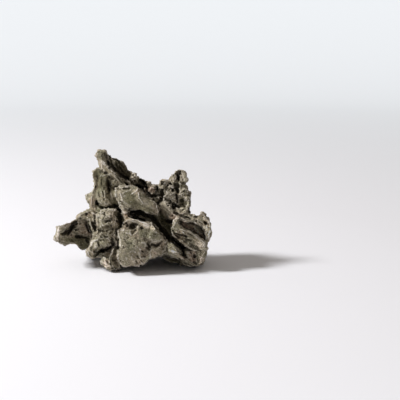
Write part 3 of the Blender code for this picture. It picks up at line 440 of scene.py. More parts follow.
# Worn ridges: half width, height, paleness, path
ridges = {
    "horn": [
        (0.9, 1.3, 0.9, [(107.6, 153.5), (108.8, 158), (109.6, 163), (110.6, 167)]),
        (1.4, 0.4, 0.8, [(103, 161), (103.5, 164)]),
        (0.8, 0.5, 0.4, [(101.5, 160), (101, 164), (101.8, 168)]),
    ],
    "sail": [
        (0.8, 0.7, 0.5, [(111.5, 158), (113, 163), (115.5, 168)]),
        (0.7, 0.5, 0.35, [(113.5, 161), (115.5, 166), (118.5, 170)]),
        (0.8, 0.5, 0.4, [(107, 152.6), (113, 157), (119, 160), (123.5, 164), (127, 169.5), (128.5, 175)]),
        (0.9, 0.9, 0.9, [(116, 173.8), (119.5, 177), (121, 179)]),
        (0.8, 0.9, 0.8, [(121.5, 176.5), (124, 179.5), (127.5, 182)]),
        (0.7, 0.6, 0.6, [(125.5, 183.5), (129, 184.3)]),
    ],
    "spine": [
        (1.5, 0.7, 0.5, [(103, 163), (107, 166.5), (111.5, 169.5), (115, 173), (119, 178), (125, 185)]),
        (1.2, 0.5, 0.45, [(109, 174), (113, 174.5), (116, 178), (121, 182.5), (126, 186.3)]),
        (1.0, 0.5, 0.5, [(101.5, 165), (102, 169), (105, 171.5)]),
        (0.9, 0.6, 0.7, [(101, 174.5), (103, 176), (106, 174.8), (108, 174)]),
    ],
    "shoulder": [
        (0.8, 0.7, 0.35, [(100.5, 175), (99.6, 180), (100.5, 184), (102, 188)]),
        (0.7, 0.6, 0.35, [(102.5, 186), (103, 190), (104.5, 193.5), (104, 197)]),
        (1.0, 0.8, 0.7, [(104.6, 191), (105, 194.5), (104, 197.5)]),
        (0.7, 0.6, 0.4, [(106, 195), (108.5, 198), (110.5, 202), (112, 205)]),
        (0.7, 0.5, 0.3, [(100.5, 190), (102, 194), (104, 197)]),
        (0.8, 0.6, 0.45, [(105, 202), (107, 205), (109, 206.5)]),
        (0.7, 0.5, 0.3, [(109.5, 186), (110.5, 192), (112, 198), (115, 203)]),
        (0.8, 0.4, 0.4, [(93.2, 171.5), (94.5, 169.8), (97, 169)]),
        (0.8, 0.6, 0.4, [(91.3, 197), (91.8, 201), (92, 205)]),
        (0.7, 0.4, 0.4, [(94.5, 206), (94.8, 209)]),
    ],
    "shelf": [
        (1.2, 0.7, 0.9, [(115.2, 190), (115.4, 194), (115.6, 197.6)]),
        (0.8, 0.7, 1.1, [(116, 189.3), (120, 188.3), (124, 187), (128, 186.4)]),
        (1.0, 0.8, 1.1, [(120.2, 193.5), (121.2, 196), (121.8, 198)]),
        (0.9, 0.4, 0.7, [(121, 199.5), (122.6, 200.4)]),
        (0.7, 0.5, 0.8, [(122.5, 193.8), (125, 191.8), (129, 190), (131, 189.4)]),
        (0.7, 0.3, 0.35, [(122, 197), (127, 196)]),
        (1.0, 0.8, 0.9, [(131, 194.6), (134, 192.4), (137, 190), (138.5, 188)]),
        (0.9, 0.5, 1.2, [(138.2, 193), (138.6, 194)]),
        (0.7, 0.7, 1.0, [(138.6, 194.5), (139.4, 197.5), (140.6, 200.4), (143, 203)]),
        (0.8, 0.4, 1.0, [(140.2, 199.8), (140.8, 200.8)]),
        (0.8, 0.8, 1.1, [(141, 188.6), (144, 192), (148, 196), (151.5, 199), (155, 202), (157, 205)]),
        (0.7, 0.7, 1.0, [(157, 205), (157, 208), (158.6, 212), (159.4, 214)]),
        (0.8, 0.3, 0.3, [(150.5, 206.6), (154, 208.6), (156, 209)]),
        (0.7, 0.3, 0.35, [(141, 201), (144.5, 203.6), (148, 204)]),
        (0.7, 0.5, 0.7, [(120.5, 200), (124, 202), (128.5, 204.6), (131, 206)]),
        (0.8, 0.6, 0.8, [(118.4, 200.5), (118.8, 206), (121, 210), (123.5, 213.4), (126, 214)]),
        (0.9, 0.8, 0.6, [(132, 213), (136, 214)]),
        (0.8, 0.9, 0.9, [(136.5, 215.8), (141, 217.4), (146, 219.8), (149, 221.7)]),
    ],
    "saddle": [
        (0.8, 0.6, 0.5, [(132, 173.4), (135.5, 173.8), (137, 176.4), (136.6, 179)]),
        (0.8, 0.6, 0.4, [(133, 179.4), (136, 180.4)]),
        (0.8, 0.8, 0.4, [(144.5, 181), (147.5, 182.5), (149.6, 185.4)]),
        (0.8, 0.6, 0.4, [(149.5, 192.4), (153, 191), (155.5, 191.6)]),
        (0.9, 0.9, 0.7, [(155.8, 190.6), (156.6, 193)]),
    ],
    "crust": [
        (1.2, 0.6, 0.9, [(172.8, 178.8), (174.4, 179.6)]),
        (1.1, 0.6, 0.9, [(164.6, 183.2), (165.8, 184.2)]),
        (0.9, 0.5, 0.6, [(166.5, 180.4), (170.4, 179.6)]),
        (0.9, 0.6, 0.6, [(172.4, 185.4), (174.6, 186.8), (171.6, 187.6)]),
        (0.9, 0.6, 0.6, [(173.4, 193), (175.4, 191.8)]),
        (0.8, 0.5, 0.4, [(164, 191.4), (168, 192), (171, 193.4)]),
        (0.8, 0.5, 0.4, [(179.6, 184), (182, 188), (184, 190.6)]),
        (0.8, 0.5, 0.5, [(183.6, 193.6), (185, 197)]),
        (0.9, 0.5, 0.8, [(185.4, 199.4), (186, 200)]),
        (0.8, 0.5, 0.5, [(184.6, 204.6), (186.4, 206)]),
        (0.8, 0.5, 0.6, [(178.6, 208.4), (180.4, 207.6)]),
        (0.8, 0.6, 0.5, [(175, 202), (175, 206), (174.4, 209)]),
    ],
    "secondHorn": [
        (0.8, 0.5, 0.6, [(176, 178.6), (177.2, 175.4), (177.6, 172.8)]),
        (0.9, 0.5, 0.7, [(182, 173.4), (183, 177), (184.8, 181)]),
        (0.8, 0.4, 0.5, [(186.4, 175), (187.6, 179), (187.4, 182)]),
    ],
    "chute": [
        (1.0, 0.7, 0.5, [(163.6, 199.4), (167.6, 202.4), (170.6, 206.6), (173.6, 211)]),
        (0.7, 0.4, 0.3, [(164, 203), (167, 208), (170, 211)]),
        (0.9, 0.6, 0.5, [(169.4, 213.6), (173, 213), (176, 216)]),
        (0.8, 0.5, 0.6, [(170, 218.4), (174, 219.6), (175.6, 217.4)]),
    ],
    "slab": [
        (0.9, 0.7, 0.7, [(174, 226), (176, 221.6), (179, 218.4), (183, 219.6), (190, 220.6), (195, 223.2)]),
        (0.9, 0.7, 0.6, [(195, 223.2), (199.6, 226.6), (203.6, 231.6), (207, 238)]),
        (0.9, 0.6, 0.5, [(195, 216.4), (198.6, 215), (201.6, 213)]),
        (0.9, 0.5, 0.5, [(202.6, 214.6), (206.6, 218), (209, 223), (210, 229), (209, 237)]),
        (1.1, 0.8, 0.7, [(181, 229.4), (186, 230.4), (191, 232.6), (196, 235.8), (201, 240), (205, 243.4)]),
        (0.8, 0.4, 1.2, [(182.2, 232.2), (183, 232.8)]),
        (0.7, 0.3, 1.0, [(178.6, 231)]),
        (1.0, 0.3, 0.8, [(203, 244), (204.6, 246.4)]),
        (0.8, 0.3, 1.2, [(202.4, 255.6)]),
        (0.8, 0.3, 1.0, [(200.4, 258.6), (200.6, 261)]),
        (0.9, 0.3, 0.9, [(199, 263.6)]),
        (0.8, 0.3, 0.8, [(200.6, 249), (203, 250.6)]),
        (0.8, 0.7, 0.4, [(172.4, 227), (174, 228.6), (178, 229.6)]),
        (0.8, 0.7, 0.4, [(176, 231.8), (182, 233.8), (188, 235.4)]),
        (0.8, 0.6, 0.3, [(183, 237.2), (189, 238.6)]),
        (0.8, 0.6, 0.5, [(172, 234.6), (175, 237)]),
        (0.9, 0.5, 0.4, [(186, 241.4), (190, 244.4)]),
        (0.8, 0.5, 0.4, [(174.6, 240), (179, 243), (183, 245.6)]),
        (0.7, 0.5, 0.4, [(186, 259), (190, 261.4), (195, 264.6)]),
        (0.8, 0.5, 0.4, [(197.6, 264), (199, 260)]),
    ],
    "wedge": [
        (1.0, 0.7, 0.5, [(168.4, 241.4), (171.6, 241.6), (175.4, 244.6), (178.4, 248.6)]),
        (1.2, 0.3, 1.1, [(172.4, 251), (173.6, 252.4)]),
        (0.8, 0.2, 0.8, [(175, 253.8)]),
        (0.8, 0.2, 0.7, [(170, 250.6)]),
        (0.8, 0.4, 0.6, [(162, 254.6), (165.4, 252.8)]),
    ],
    "lobe": [
        (1.0, 0.6, 0.8, [(118.4, 229), (118, 232), (118.6, 236), (120, 239.6), (120.4, 243), (120, 246.6),
                         (118, 249.6)]),
        (1.0, 0.5, 0.7, [(117.6, 251), (117.4, 256), (117.6, 260.6), (120.4, 263.6), (123, 266.6)]),
        (1.0, 0.4, 0.8, [(121, 230), (124, 230.4)]),
        (0.9, 0.4, 1.4, [(126.4, 233), (127.6, 233.6)]),
        (0.8, 0.3, 1.1, [(124, 230.6)]),
        (0.9, 0.4, 1.0, [(129.6, 234), (131.8, 234.8)]),
        (1.3, 0.7, 0.7, [(131.4, 220.4), (134, 219), (137, 219.4), (141, 221.6), (146, 223.4), (151, 223.4),
                         (155, 226), (157.6, 229.6), (160, 233), (163.4, 237.4)]),
        (0.9, 0.3, 1.1, [(133, 221.4), (134.4, 221.8)]),
        (1.5, 0.2, 0.7, [(144, 225), (148, 226)]),
        (0.9, 0.3, 1.0, [(155, 232), (157, 232.8)]),
        (0.8, 0.3, 0.9, [(153, 230.4)]),
        (0.9, 0.5, 0.5, [(152, 243), (158, 241), (162, 239.4)]),
        (1.2, 0.7, 0.6, [(141.6, 242.6), (145, 243), (147, 246.6)]),
        (1.1, 0.5, 0.6, [(150.6, 243.4), (151, 248), (150.6, 252), (150, 257.6)]),
        (1.0, 0.5, 0.5, [(140.4, 250), (139.6, 255), (141.6, 259)]),
        (0.9, 0.5, 0.5, [(143, 258.6), (146, 257.6), (147.6, 255.6)]),
        (0.9, 0.4, 0.9, [(131.4, 257), (131.6, 259.6)]),
        (0.8, 0.3, 0.8, [(133.4, 261.4)]),
        (0.9, 0.3, 0.7, [(126.4, 258), (127, 260)]),
        (1.0, 0.4, 0.5, [(141.6, 262.6), (144, 263.4)]),
        (1.0, 0.4, 0.5, [(124, 267), (128, 267), (134, 266.6), (141.6, 266), (146, 263), (150, 259.6)]),
        (0.8, 0.3, 0.5, [(131, 251.4), (133, 250.6), (135, 252)]),
    ],
    "boss": [
        (0.9, 0.5, 0.5, [(97, 214.6), (101, 213), (105, 210.6), (110, 209.6), (115, 210), (118, 212.6)]),
        (0.8, 0.4, 1.4, [(102.6, 225.6), (103.4, 225.4)]),
        (0.8, 0.5, 0.4, [(113, 212), (111.6, 218), (111.6, 223)]),
        (0.8, 0.5, 0.35, [(115.6, 215), (115.4, 221), (114.8, 226)]),
        (0.9, 0.4, 0.4, [(99, 216.6), (102, 215.6)]),
        (0.7, 0.5, 0.3, [(101.4, 219), (101, 226), (102, 234)]),
        (0.8, 0.5, 0.4, [(97, 221), (97, 228), (97.6, 234)]),
        (1.0, 0.6, 0.6, [(114, 231.6), (112.6, 235), (111, 238.4)]),
        (0.8, 0.5, 0.4, [(106.6, 236), (109, 233)]),
    ],
    "arm": [
        (1.4, 0.6, 0.9, [(58.8, 226.4), (58.4, 231), (57.6, 236.6)]),
        (1.0, 0.4, 0.8, [(61, 227), (63, 226.4)]),
        (1.0, 0.4, 0.4, [(61, 236), (63.6, 236)]),
        (0.9, 0.5, 0.6, [(89.6, 218.4), (89.6, 222), (91.6, 227.4), (93.6, 230.6)]),
        (0.9, 0.5, 0.6, [(93, 220.4), (93.6, 223)]),
        (0.9, 0.5, 0.4, [(77, 216), (81, 214.6), (84, 212.6), (88.6, 211)]),
        (0.8, 0.5, 0.4, [(78, 217.6), (82, 217), (86, 217.4)]),
        (0.8, 0.5, 0.4, [(85.4, 220.6), (88.4, 219.4)]),
        (0.8, 0.5, 0.2, [(73.4, 226.6), (71.6, 231), (70.6, 234)]),
        (0.8, 0.5, 0.2, [(78, 234.6), (84, 235.4)]),
        (0.7, 0.4, 0.3, [(64, 224.4), (70, 222.8), (73, 221)]),
    ],
    "lip": [
        (0.9, 0.9, 1.1, [(90.6, 246), (91.4, 243), (94, 241), (97.4, 240)]),
        (0.8, 0.8, 1.0, [(100, 238.6), (104, 237.6), (108, 238.6), (110.6, 241)]),
        (0.8, 0.7, 0.9, [(88, 251), (88.6, 255), (91, 258)]),
        (0.9, 0.4, 0.7, [(94.6, 246.4), (95.4, 248.4)]),
        (0.8, 0.4, 0.5, [(97, 250.6), (96, 254), (95.4, 258)]),
        (0.9, 0.5, 0.7, [(106.8, 251.6), (109.6, 251.4)]),
    ],
    "foot": [
        (0.9, 0.6, 0.8, [(115.4, 242.4), (116.6, 244.4), (116, 247.4), (113.6, 250), (112.4, 253),
                         (110, 256)]),
        (0.9, 0.5, 0.7, [(109.4, 257.6), (110, 261.6), (111.6, 264.6), (114.4, 267.4)]),
        (0.8, 0.4, 0.5, [(111.4, 257.6), (111.8, 259.4)]),
        (1.3, 0.4, 0.5, [(104, 259.6), (106, 263), (106.6, 266.6)]),
    ],
}

# Pits: half length, half width, turn in degrees, depth, darkness (the painted shade in the pit), middles
pits = [
    (2.6, 2.2, 20, 2.6, 0.95, [(132.4, 226.6)]),
    (1.8, 1.1, 60, 2.0, 1.3, [(205, 222.6)]),
    (1.9, 1.1, 80, 2.0, 1.2, [(194.8, 256)]),
    (1.9, 1.1, 70, 1.8, 1.1, [(172.8, 190.2)]),
    (1.7, 0.8, 35, 1.4, 0.9, [(170.6, 184), (175.6, 184.6), (137.6, 183.2)]),
    (1.4, 0.6, -40, 1.2, 0.8, [(167.6, 186.2), (161.6, 184.8), (131.8, 182), (170.6, 202.4), (183.4, 191)]),
    (1.3, 0.55, 20, 1.0, 0.7, [(162.6, 181.6), (134.6, 181.2), (132.5, 178.8), (153.2, 187), (160, 189.6)]),
    (1.2, 0.5, 65, 0.8, 0.6, [(173, 174.6), (175.6, 173.6), (182.6, 209.4), (166.4, 190), (168.4, 205.6)]),
    (1.6, 1.2, 0, 1.2, 0.8, [(185, 208.4)]),
    (1.1, 0.8, 20, 0.9, 0.7, [(196.6, 221), (204, 229.6), (207.4, 233.4)]),
    (1.9, 1.3, 20, 0.8, 0.6, [(145, 239.6)]),
    (3.6, 2.0, 75, 0.8, 0.35, [(145.6, 253.6)]),
    (1.6, 0.7, 60, 0.9, 0.6, [(142.4, 251.6), (138.4, 257), (136.6, 261.6)]),
    (1.4, 0.6, 50, 0.7, 0.5, [(140, 241), (141.2, 260.8), (149.4, 232.4), (123.6, 247.4), (121, 220.6)]),
    (1.1, 0.5, -30, 0.6, 0.4, [(120.6, 261), (155.6, 234.6), (131.5, 243), (134.6, 246), (128.4, 238)]),
    (1.0, 0.8, 0, 0.9, 0.8, [(86.4, 214.4), (80.4, 223.6), (80.2, 218.6)]),
]

# Layered zones: outline, direction of the layers, their spacing, length and height
layers = {
    "sail": dict(outline=[(105, 151), (113, 156), (124, 164), (130, 178), (126, 184), (112, 168)],
                 along=(15, 22), spacing=1.8, length=13, height=0.5),
    "spine": dict(outline=[(99, 160), (105, 163), (128, 184), (121, 188), (106, 174), (98, 170)],
                  along=(24, 25), spacing=2.4, length=11, height=0.25),
    "shoulder": dict(outline=[(92, 170), (99, 168), (110, 176), (118, 190), (119, 206), (96, 210),
                              (90, 196)],
                     along=(7, 30), spacing=2.4, length=22, height=0.3),
    "slab": dict(outline=[(171, 226), (182, 229), (206, 243), (207, 262), (196, 267), (172, 240)],
                 along=(27, 15), spacing=2.0, length=10, height=0.55),
    "wedge": dict(outline=[(166, 241), (177, 243), (200, 266), (190, 268), (160, 256)],
                  along=(22, 14), spacing=2.0, length=9, height=0.45),
    "chute": dict(outline=[(157, 201), (166, 198), (184, 217), (172, 230), (158, 214)],
                  along=(12, 16), spacing=2.2, length=8, height=0.45),
    "arm": dict(outline=[(56, 224), (76, 216), (92, 212), (97, 240), (86, 252), (56, 243)],
                along=(20, 4), spacing=2.2, length=9, height=0.45),
    "toe": dict(outline=[(101, 257), (110, 257), (120, 270), (108, 272), (101, 264)],
                along=(12, 12), spacing=1.8, length=7, height=0.35),
}

# Crumbly zones: outline, size of a crumb, how far it stands out
crumbs = {
    "saddle": dict(outline=[(129, 170), (138, 172), (160, 180), (162, 200), (146, 196), (128, 186)],
                   size=2.0, height=0.9),
    "crust": dict(outline=[(158, 182), (176, 176), (192, 188), (192, 214), (172, 212), (158, 200)],
                  size=2.1, height=0.95),
    "secondHorn": dict(outline=[(172, 180), (174, 170), (186, 169), (190, 182), (184, 186)],
                       size=2.4, height=0.5),
    "lobe": dict(outline=[(117, 228), (132, 217), (158, 228), (166, 242), (158, 258), (140, 268),
                          (118, 264)],
                 size=1.9, height=0.4),
    "cap": dict(outline=[(192, 214), (202, 211), (212, 224), (210, 240), (196, 224)], size=2.4, height=0.6),
    "slabEnd": dict(outline=[(196, 238), (208, 244), (207, 262), (196, 268), (190, 248)],
                    size=2.2, height=0.7),
    "wedge": dict(outline=[(164, 242), (176, 244), (184, 258), (162, 258)], size=2.4, height=0.5),
    "boss": dict(outline=[(95, 214), (110, 208), (119, 214), (117, 240), (97, 240)], size=3.0, height=0.45),
    "armTop": dict(outline=[(75, 216), (90, 209), (97, 214), (96, 222), (78, 222)], size=2.5, height=0.6),
    "chuteFoot": dict(outline=[(166, 212), (178, 210), (184, 218), (174, 226), (166, 222)],
                      size=2.4, height=0.6),
}

# How every crumb is shaped
crumbShape = {
    "gap": 2.6,          # how soon a crumb rises from the gap round it
    "crown": 0.6,        # the lower, the flatter its top
    "height": 0.8, "uneven": 0.5,
    "level": 0.55,       # what lies above this stands out
    "scatter": 7.3,      # how unlike its neighbours a crumb is
    "finer": 2.1, "finerShare": 0.5,  # the smaller crumbs on the large ones
    "pale": 0.3,
}

# Faces that are smoother than the rest: how much of the overall relief they lack, outline
quiet = {
    "horn": (0.4, [(94, 149), (106, 149), (110, 160), (98, 170), (94, 160)]),
    "sail": (0.5, [(107, 152), (118, 158), (131, 176), (127, 184), (108, 164)]),
    "spine": (0.6, layers["spine"]["outline"]),
    "shoulder": (0.75, [(90, 168), (99, 168), (110, 176), (119, 190), (119, 207), (96, 211), (84, 200)]),
    "shelf": (0.85, [(113, 189), (124, 186), (141, 185), (150, 195), (160, 214), (149, 214), (131, 209),
                     (116, 200)]),
    "chute": (0.6, layers["chute"]["outline"]),
    "slab": (0.65, [(171, 226), (182, 220), (206, 237), (207, 255), (196, 260), (172, 240)]),
    "lobe": (0.75, crumbs["lobe"]["outline"]),
    "arm": (0.4, layers["arm"]["outline"]),
}

# Washes of painted light and shade, with the rock's own hues: brightness (1 doubles it, -1 halves it), hue
# (1 warm, -1 green), outline. The brightness is mostly painted light on faces the lamps leave in shade, and
# painted shade in hollows and under the stone
lightAndToneWashes = {
    "hornHead": (-0.6, -0.4, [(96, 150), (102, 148), (108, 154), (106, 160), (97, 160)]),
    "neck": (0.3, 0.1, [(98, 158), (105, 160), (106, 167), (101, 172), (98, 166)]),
    "sailEdge": (1.15, 0.0, [(107, 152), (117, 157), (118, 163), (113, 165), (109, 161)]),
    # painted shade on the sail's face, behind the spine
    "sail": (-0.95, 0.1, [(113, 162), (119, 160), (126, 165), (130, 176), (127, 179), (119, 173),
                          (113, 168)]),
    "spine": (-0.5, 0.1, [(103, 163), (128, 185), (122, 187), (110, 175), (102, 170)]),
    "spineFoot": (0.55, -0.3, [(109, 180), (114, 179), (120, 186), (117, 190), (109, 188)]),
    "shoulderTop": (-1.3, 0.3, [(91, 170), (99, 168), (104, 176), (104, 187), (94, 191)]),
    "shoulder": (-0.35, 0.0, [(103, 178), (109, 177), (111, 190), (112, 204), (97, 204), (96, 192)]),
    "shoulderEdge": (-0.75, 0.0, [(110, 187), (117, 190), (119, 206), (112, 206)]),
    "shoulderFold": (-0.2, -0.5, [(96, 187), (100, 187), (101, 195), (97, 195)]),
    "shoulderSide": (0.0, 0.5, [(86, 195), (96, 192), (96, 201), (92, 209), (86, 203)]),
    "shoulderFoot": (0.65, -0.4, [(95, 202), (102, 205), (104, 210), (95, 212)]),
    "shelfEnd": (0.25, 0.15, [(115, 189), (122, 188), (123, 200), (117, 199)]),
    "shelfTop": (0.2, 0.2, [(130, 189), (140, 187), (146, 194), (139, 196), (132, 193)]),
    "shelfMiddle": (-1.0, -0.2, [(124, 191), (130, 190), (136, 196), (137, 203), (130, 205), (123, 200)]),
    "shelfFoot": (-0.75, 0.0, [(122, 201), (134, 200), (146, 205), (156, 210), (155, 215), (131, 210)]),
    # painted light in the shade under the shelf
    "underShelfLight": (2.0, 0.4, [(121, 210), (127, 212), (137, 216), (147, 221), (147, 224), (137, 221),
                              (124, 217)]),
    "saddle": (0.8, 0.0, [(129, 170), (139, 171), (141, 181), (130, 184)]),
    "saddleRed": (1.3, 0.6, [(146, 185), (155, 186), (156, 193), (147, 193)]),
    "chute": (0.45, 0.0, [(163, 199), (168, 201), (174, 211), (170, 213), (160, 203)]),
    "chuteShade": (-1.8, -0.4, [(158, 210), (163, 213), (168, 221), (173, 229), (172, 235), (160, 224)]),
    "chuteFoot": (1.05, 0.6, [(168, 213), (174, 211), (180, 218), (174, 222), (168, 219)]),
    # painted shade in the deep chasm
    "chasmShade": (-1.6, 0.2, [(148, 213), (153, 215), (163, 226), (171, 236), (184, 246), (187, 256), (182, 255),
                          (170, 243), (160, 234), (153, 222)]),
    "crustRight": (0.65, -0.5, [(179, 190), (190, 190), (191, 212), (180, 212)]),
    "secondHorn": (1.25, -0.4, [(180, 171), (186, 171), (189, 181), (183, 184)]),
    "secondHornLeft": (-0.2, 0.1, [(172, 174), (178, 171), (178, 179), (173, 178)]),
    # painted light in the slab's shaded hollow
    "hollowLight": (2.15, 0.7, [(178, 222), (184, 220.5), (196, 225), (206, 237), (205, 242), (192, 231),
                           (181, 227)]),
    "cap": (0.6, 0.05, [(195, 215), (202, 211), (212, 226), (210, 241), (202, 231), (196, 223)]),
    "capRim": (1.65, -0.1, [(203, 217), (212, 220), (213, 234), (209, 241), (203, 229)]),
    "slab": (-0.7, 0.0, [(172, 230), (184, 233), (192, 241), (190, 248), (178, 243)]),
    "slabEnd": (1.0, 0.2, [(190, 233), (206, 243), (207, 262), (198, 266), (197, 250)]),
    "slabFoot": (0.1, 0.7, [(186, 250), (197, 250), (197, 264), (190, 263)]),
    # painted light on the wedge, which the lamps leave in shade
    "wedge": (1.9, -0.3, [(166, 240), (174, 242), (180, 250), (176, 254), (167, 253)]),
    "wedgeFoot": (0.7, 0.6, [(175, 250), (184, 256), (191, 262), (180, 260)]),
    "wedgeShade": (-0.4, 0.3, [(158, 243), (165, 243), (166, 255), (159, 256)]),
    "lobe": (0.24, 0.0, [(117, 228), (131, 220), (158, 230), (165, 242), (156, 258), (140, 267),
                         (119, 264)]),
    "lobeGreen": (-0.5, -0.9, [(137, 228), (150, 227), (159, 235), (153, 241), (139, 237)]),
    "lobeBrown": (-0.3, 0.6, [(138, 245), (150, 246), (150, 258), (140, 258)]),
    "lobeEdge": (0.1, -0.3, [(117, 228), (124, 230), (124, 250), (120, 262), (116, 250)]),
    "lobeMiddle": (-0.2, -0.7, [(124, 238), (134, 240), (136, 252), (126, 252)]),
    "lobeTop": (1.25, 0.1, [(131, 218), (142, 220), (155, 225), (157, 230), (146, 229), (137, 223)]),
    "lobeRight": (-0.1, -0.5, [(148, 231), (160, 233), (164, 241), (151, 243)]),
    "lobeEnd": (0.2, 0.4, [(151, 249), (159, 251), (158, 259), (150, 259)]),
    "lobeFoot": (0.2, -0.2, [(118, 254), (129, 255), (130, 267), (122, 266)]),
    # painted shade in the lobe's hollow
    "lobeHollow": (-0.4, 0.4, [(121, 222), (129, 222), (129, 229), (122, 229)]),
    "boss": (0.15, 0.1, [(97, 215), (106, 210), (115, 211), (116, 222), (98, 224)]),
    "bossFoot": (-0.45, 0.1, [(98, 226), (116, 225), (114, 238), (99, 237)]),
    "arm": (0.3, 0.3, [(76, 220), (88, 221), (92, 236), (76, 234)]),
    "armTop": (-0.25, 0.3, [(76, 216), (88, 210), (94, 213), (86, 220), (77, 220)]),
    "armTip": (1.05, 0.0, [(56, 226), (62, 225), (64, 236), (62, 242), (55, 240)]),
    "armUpper": (0.0, 0.5, [(62, 225), (75, 220), (71, 227), (62, 229)]),
    "armFoot": (-0.6, -0.6, [(64, 237), (90, 237), (90, 246), (84, 251), (76, 244), (65, 243)]),
    "lip": (0.45, 0.0, [(91, 243), (100, 239), (111, 241), (108, 247), (97, 249), (92, 257), (88, 252)]),
    "footShade": (-0.4, 0.3, [(111, 251), (118, 247), (119, 266), (114, 266)]),
    # painted shade under the stone, near the floor
    "undersideShade": (-2.2, 0.0, [(148, 262), (160, 257.5), (172, 258.5), (184, 264), (192, 269), (150, 270)]),
    "toe": (1.05, 0.5, [(101, 259), (109, 257), (112, 270), (103, 268)]),
}


def offPath(drawn, path):
    # How far each drawn point is from a path
    ends = np.array(path if len(path) > 1 else path * 2, float)
    nearest = np.full(len(drawn), np.inf)
    for a, b in zip(ends, ends[1:]):
        run = b - a
        along = np.clip((drawn - a) @ run / max(run @ run, 1e-9), 0, 1)
        nearest = np.minimum(nearest, np.linalg.norm(drawn - a - along[:, None] * run, axis=1))
    return nearest


def inside(drawn, outline, fade):
    # 1 inside an outline, falling to 0 at its edge
    corners = np.array(outline, float)
    crossings = np.zeros(len(drawn), int)
    for (x0, y0), (x1, y1) in zip(corners, np.roll(corners, -1, axis=0)):
        spans = (drawn[:, 1] < y0) != (drawn[:, 1] < y1)
        height = np.where(spans, (drawn[:, 1] - y0) / (y1 - y0 if y1 != y0 else 1), 0)
        crossings += spans & (drawn[:, 0] < x0 + height * (x1 - x0))
    edge = offPath(drawn, outline + outline[:1])
    return np.where(crossings % 2 == 1, np.clip(edge / fade, 0, 1), 0)


def seenFromFront(mesh, points, sight):
    # 1 where a point faces the viewer and nothing stands before it
    facing = -np.einsum("ij,ij->i", readVectors(mesh, "normal"), sight)
    tree = rayTree(mesh, points)
    seen = np.zeros(len(points))
    for i in np.flatnonzero(facing > front["edgeOn"]):
        start = Vector(points[i]) - Vector(sight[i]) * front["offset"]
        if tree.ray_cast(start, Vector(-sight[i]))[0] is None:
            seen[i] = min(1.0, facing[i] * front["facing"])
    return seen


def drawStrokes(groups, drawn, breadth):
    # What the strokes raise and tint at each point, where the strongest one counts
    rise = np.zeros(len(drawn))
    tint = np.zeros(len(drawn))
    for strokes in groups.values():
        for width, height, strength, path in strokes:
            reach = width * front["strokeEdge"]
            low = np.min(path, axis=0) - reach * front["strokeRoom"]
            high = np.max(path, axis=0) + reach * front["strokeRoom"]
            near = np.flatnonzero(((drawn > low) & (drawn < high)).all(axis=1))
            share = np.clip(1 - (offPath(drawn[near], path) / (reach * breadth[near])) ** 2, 0, 1)
            rise[near] = np.maximum(rise[near], height * share)
            tint[near] = np.maximum(tint[near], strength * share ** front["tintFall"])
    return rise, tint


def drawPits(drawn, breadth):
    depth = np.zeros(len(drawn))
    tint = np.zeros(len(drawn))
    for length, width, turn, deep, dark, middles in pits:
        axis = np.array((cos(radians(turn)), sin(radians(turn))))
        for middle in middles:
            off = drawn - middle
            along = off @ axis / (length * breadth)
            across = off @ np.array((-axis[1], axis[0])) / (width * breadth)
            share = np.clip((front["pitEdge"] - np.hypot(along, across)) / front["pitSlope"], 0, 1)
            share = share * share * (3 - 2 * share)  # the slope is round at both ends
            depth = np.maximum(depth, deep * share)
            tint = np.maximum(tint, dark * share)
    return depth, tint


def addLayers(rise, tone, points, straight, drawn):
    # Edges of rock drawn out along each zone's layers
    for zone in layers.values():
        share = inside(drawn, zone["outline"], front["zoneFade"])
        near = np.flatnonzero(share > 0)
        along = Vector(zone["along"]).normalized()
        across = np.array((-along.y, along.x))
        lengthwise = straight[near] @ np.array(along) / zone["length"]
        crosswise = straight[near] @ across / zone["spacing"]
        depth = points[near, 1] / zone["length"]
        waves = noiseAt(np.column_stack((lengthwise, crosswise, depth)))
        edges = 1 - np.abs(waves) * front["layerSlope"]
        rise[near] += share[near] * front["layerShare"] * zone["height"] * (edges - front["layerLevel"])
        tone[near] += share[near] * front["layerPale"] * (edges - front["layerPaleLevel"])


def crumbHeights(points, size):
    # Rounded crumbs of uneven height, with narrow gaps between them
    heights = np.empty(len(points))
    for i, point in enumerate(points):
        distances, places = noise.voronoi(Vector(point) / size)
        gap = min(1.0, (distances[1] - distances[0]) * crumbShape["gap"])
        own = crumbShape["height"] + crumbShape["uneven"] * noise.noise(places[0] * crumbShape["scatter"])
        heights[i] = gap ** crumbShape["crown"] * own - crumbShape["level"]
    return heights


def addCrumbs(tone, points, drawn):
    crumb = np.zeros(len(points))
    for zone in crumbs.values():
        share = inside(drawn, zone["outline"], front["zoneFade"])
        near = np.flatnonzero(share > 0)
        finer = crumbHeights(points[near], zone["size"] / crumbShape["finer"])
        heights = crumbHeights(points[near], zone["size"]) + crumbShape["finerShare"] * finer
        crumb[near] += share[near] * zone["height"] * heights
        tone[near] += share[near] * crumbShape["pale"] * heights
    return crumb


def paintedLightAndHue(drawn):
    # How much brighter the painted light and shade make each point, and how much warmer the washes make it
    paintedLightAndTone = np.zeros(len(drawn))
    hue = np.zeros(len(drawn))
    for amount, warm, outline in lightAndToneWashes.values():
        share = inside(drawn, outline, front["washFade"])
        paintedLightAndTone += amount * share
        hue += warm * share
    return np.clip(paintedLightAndTone, *front["washRange"]), np.clip(hue, -1, 1)


def calmed(drawn):
    calm = np.zeros(len(drawn))
    for amount, outline in quiet.values():
        calm = np.maximum(calm, amount * inside(drawn, outline, front["quietFade"]))
    return calm


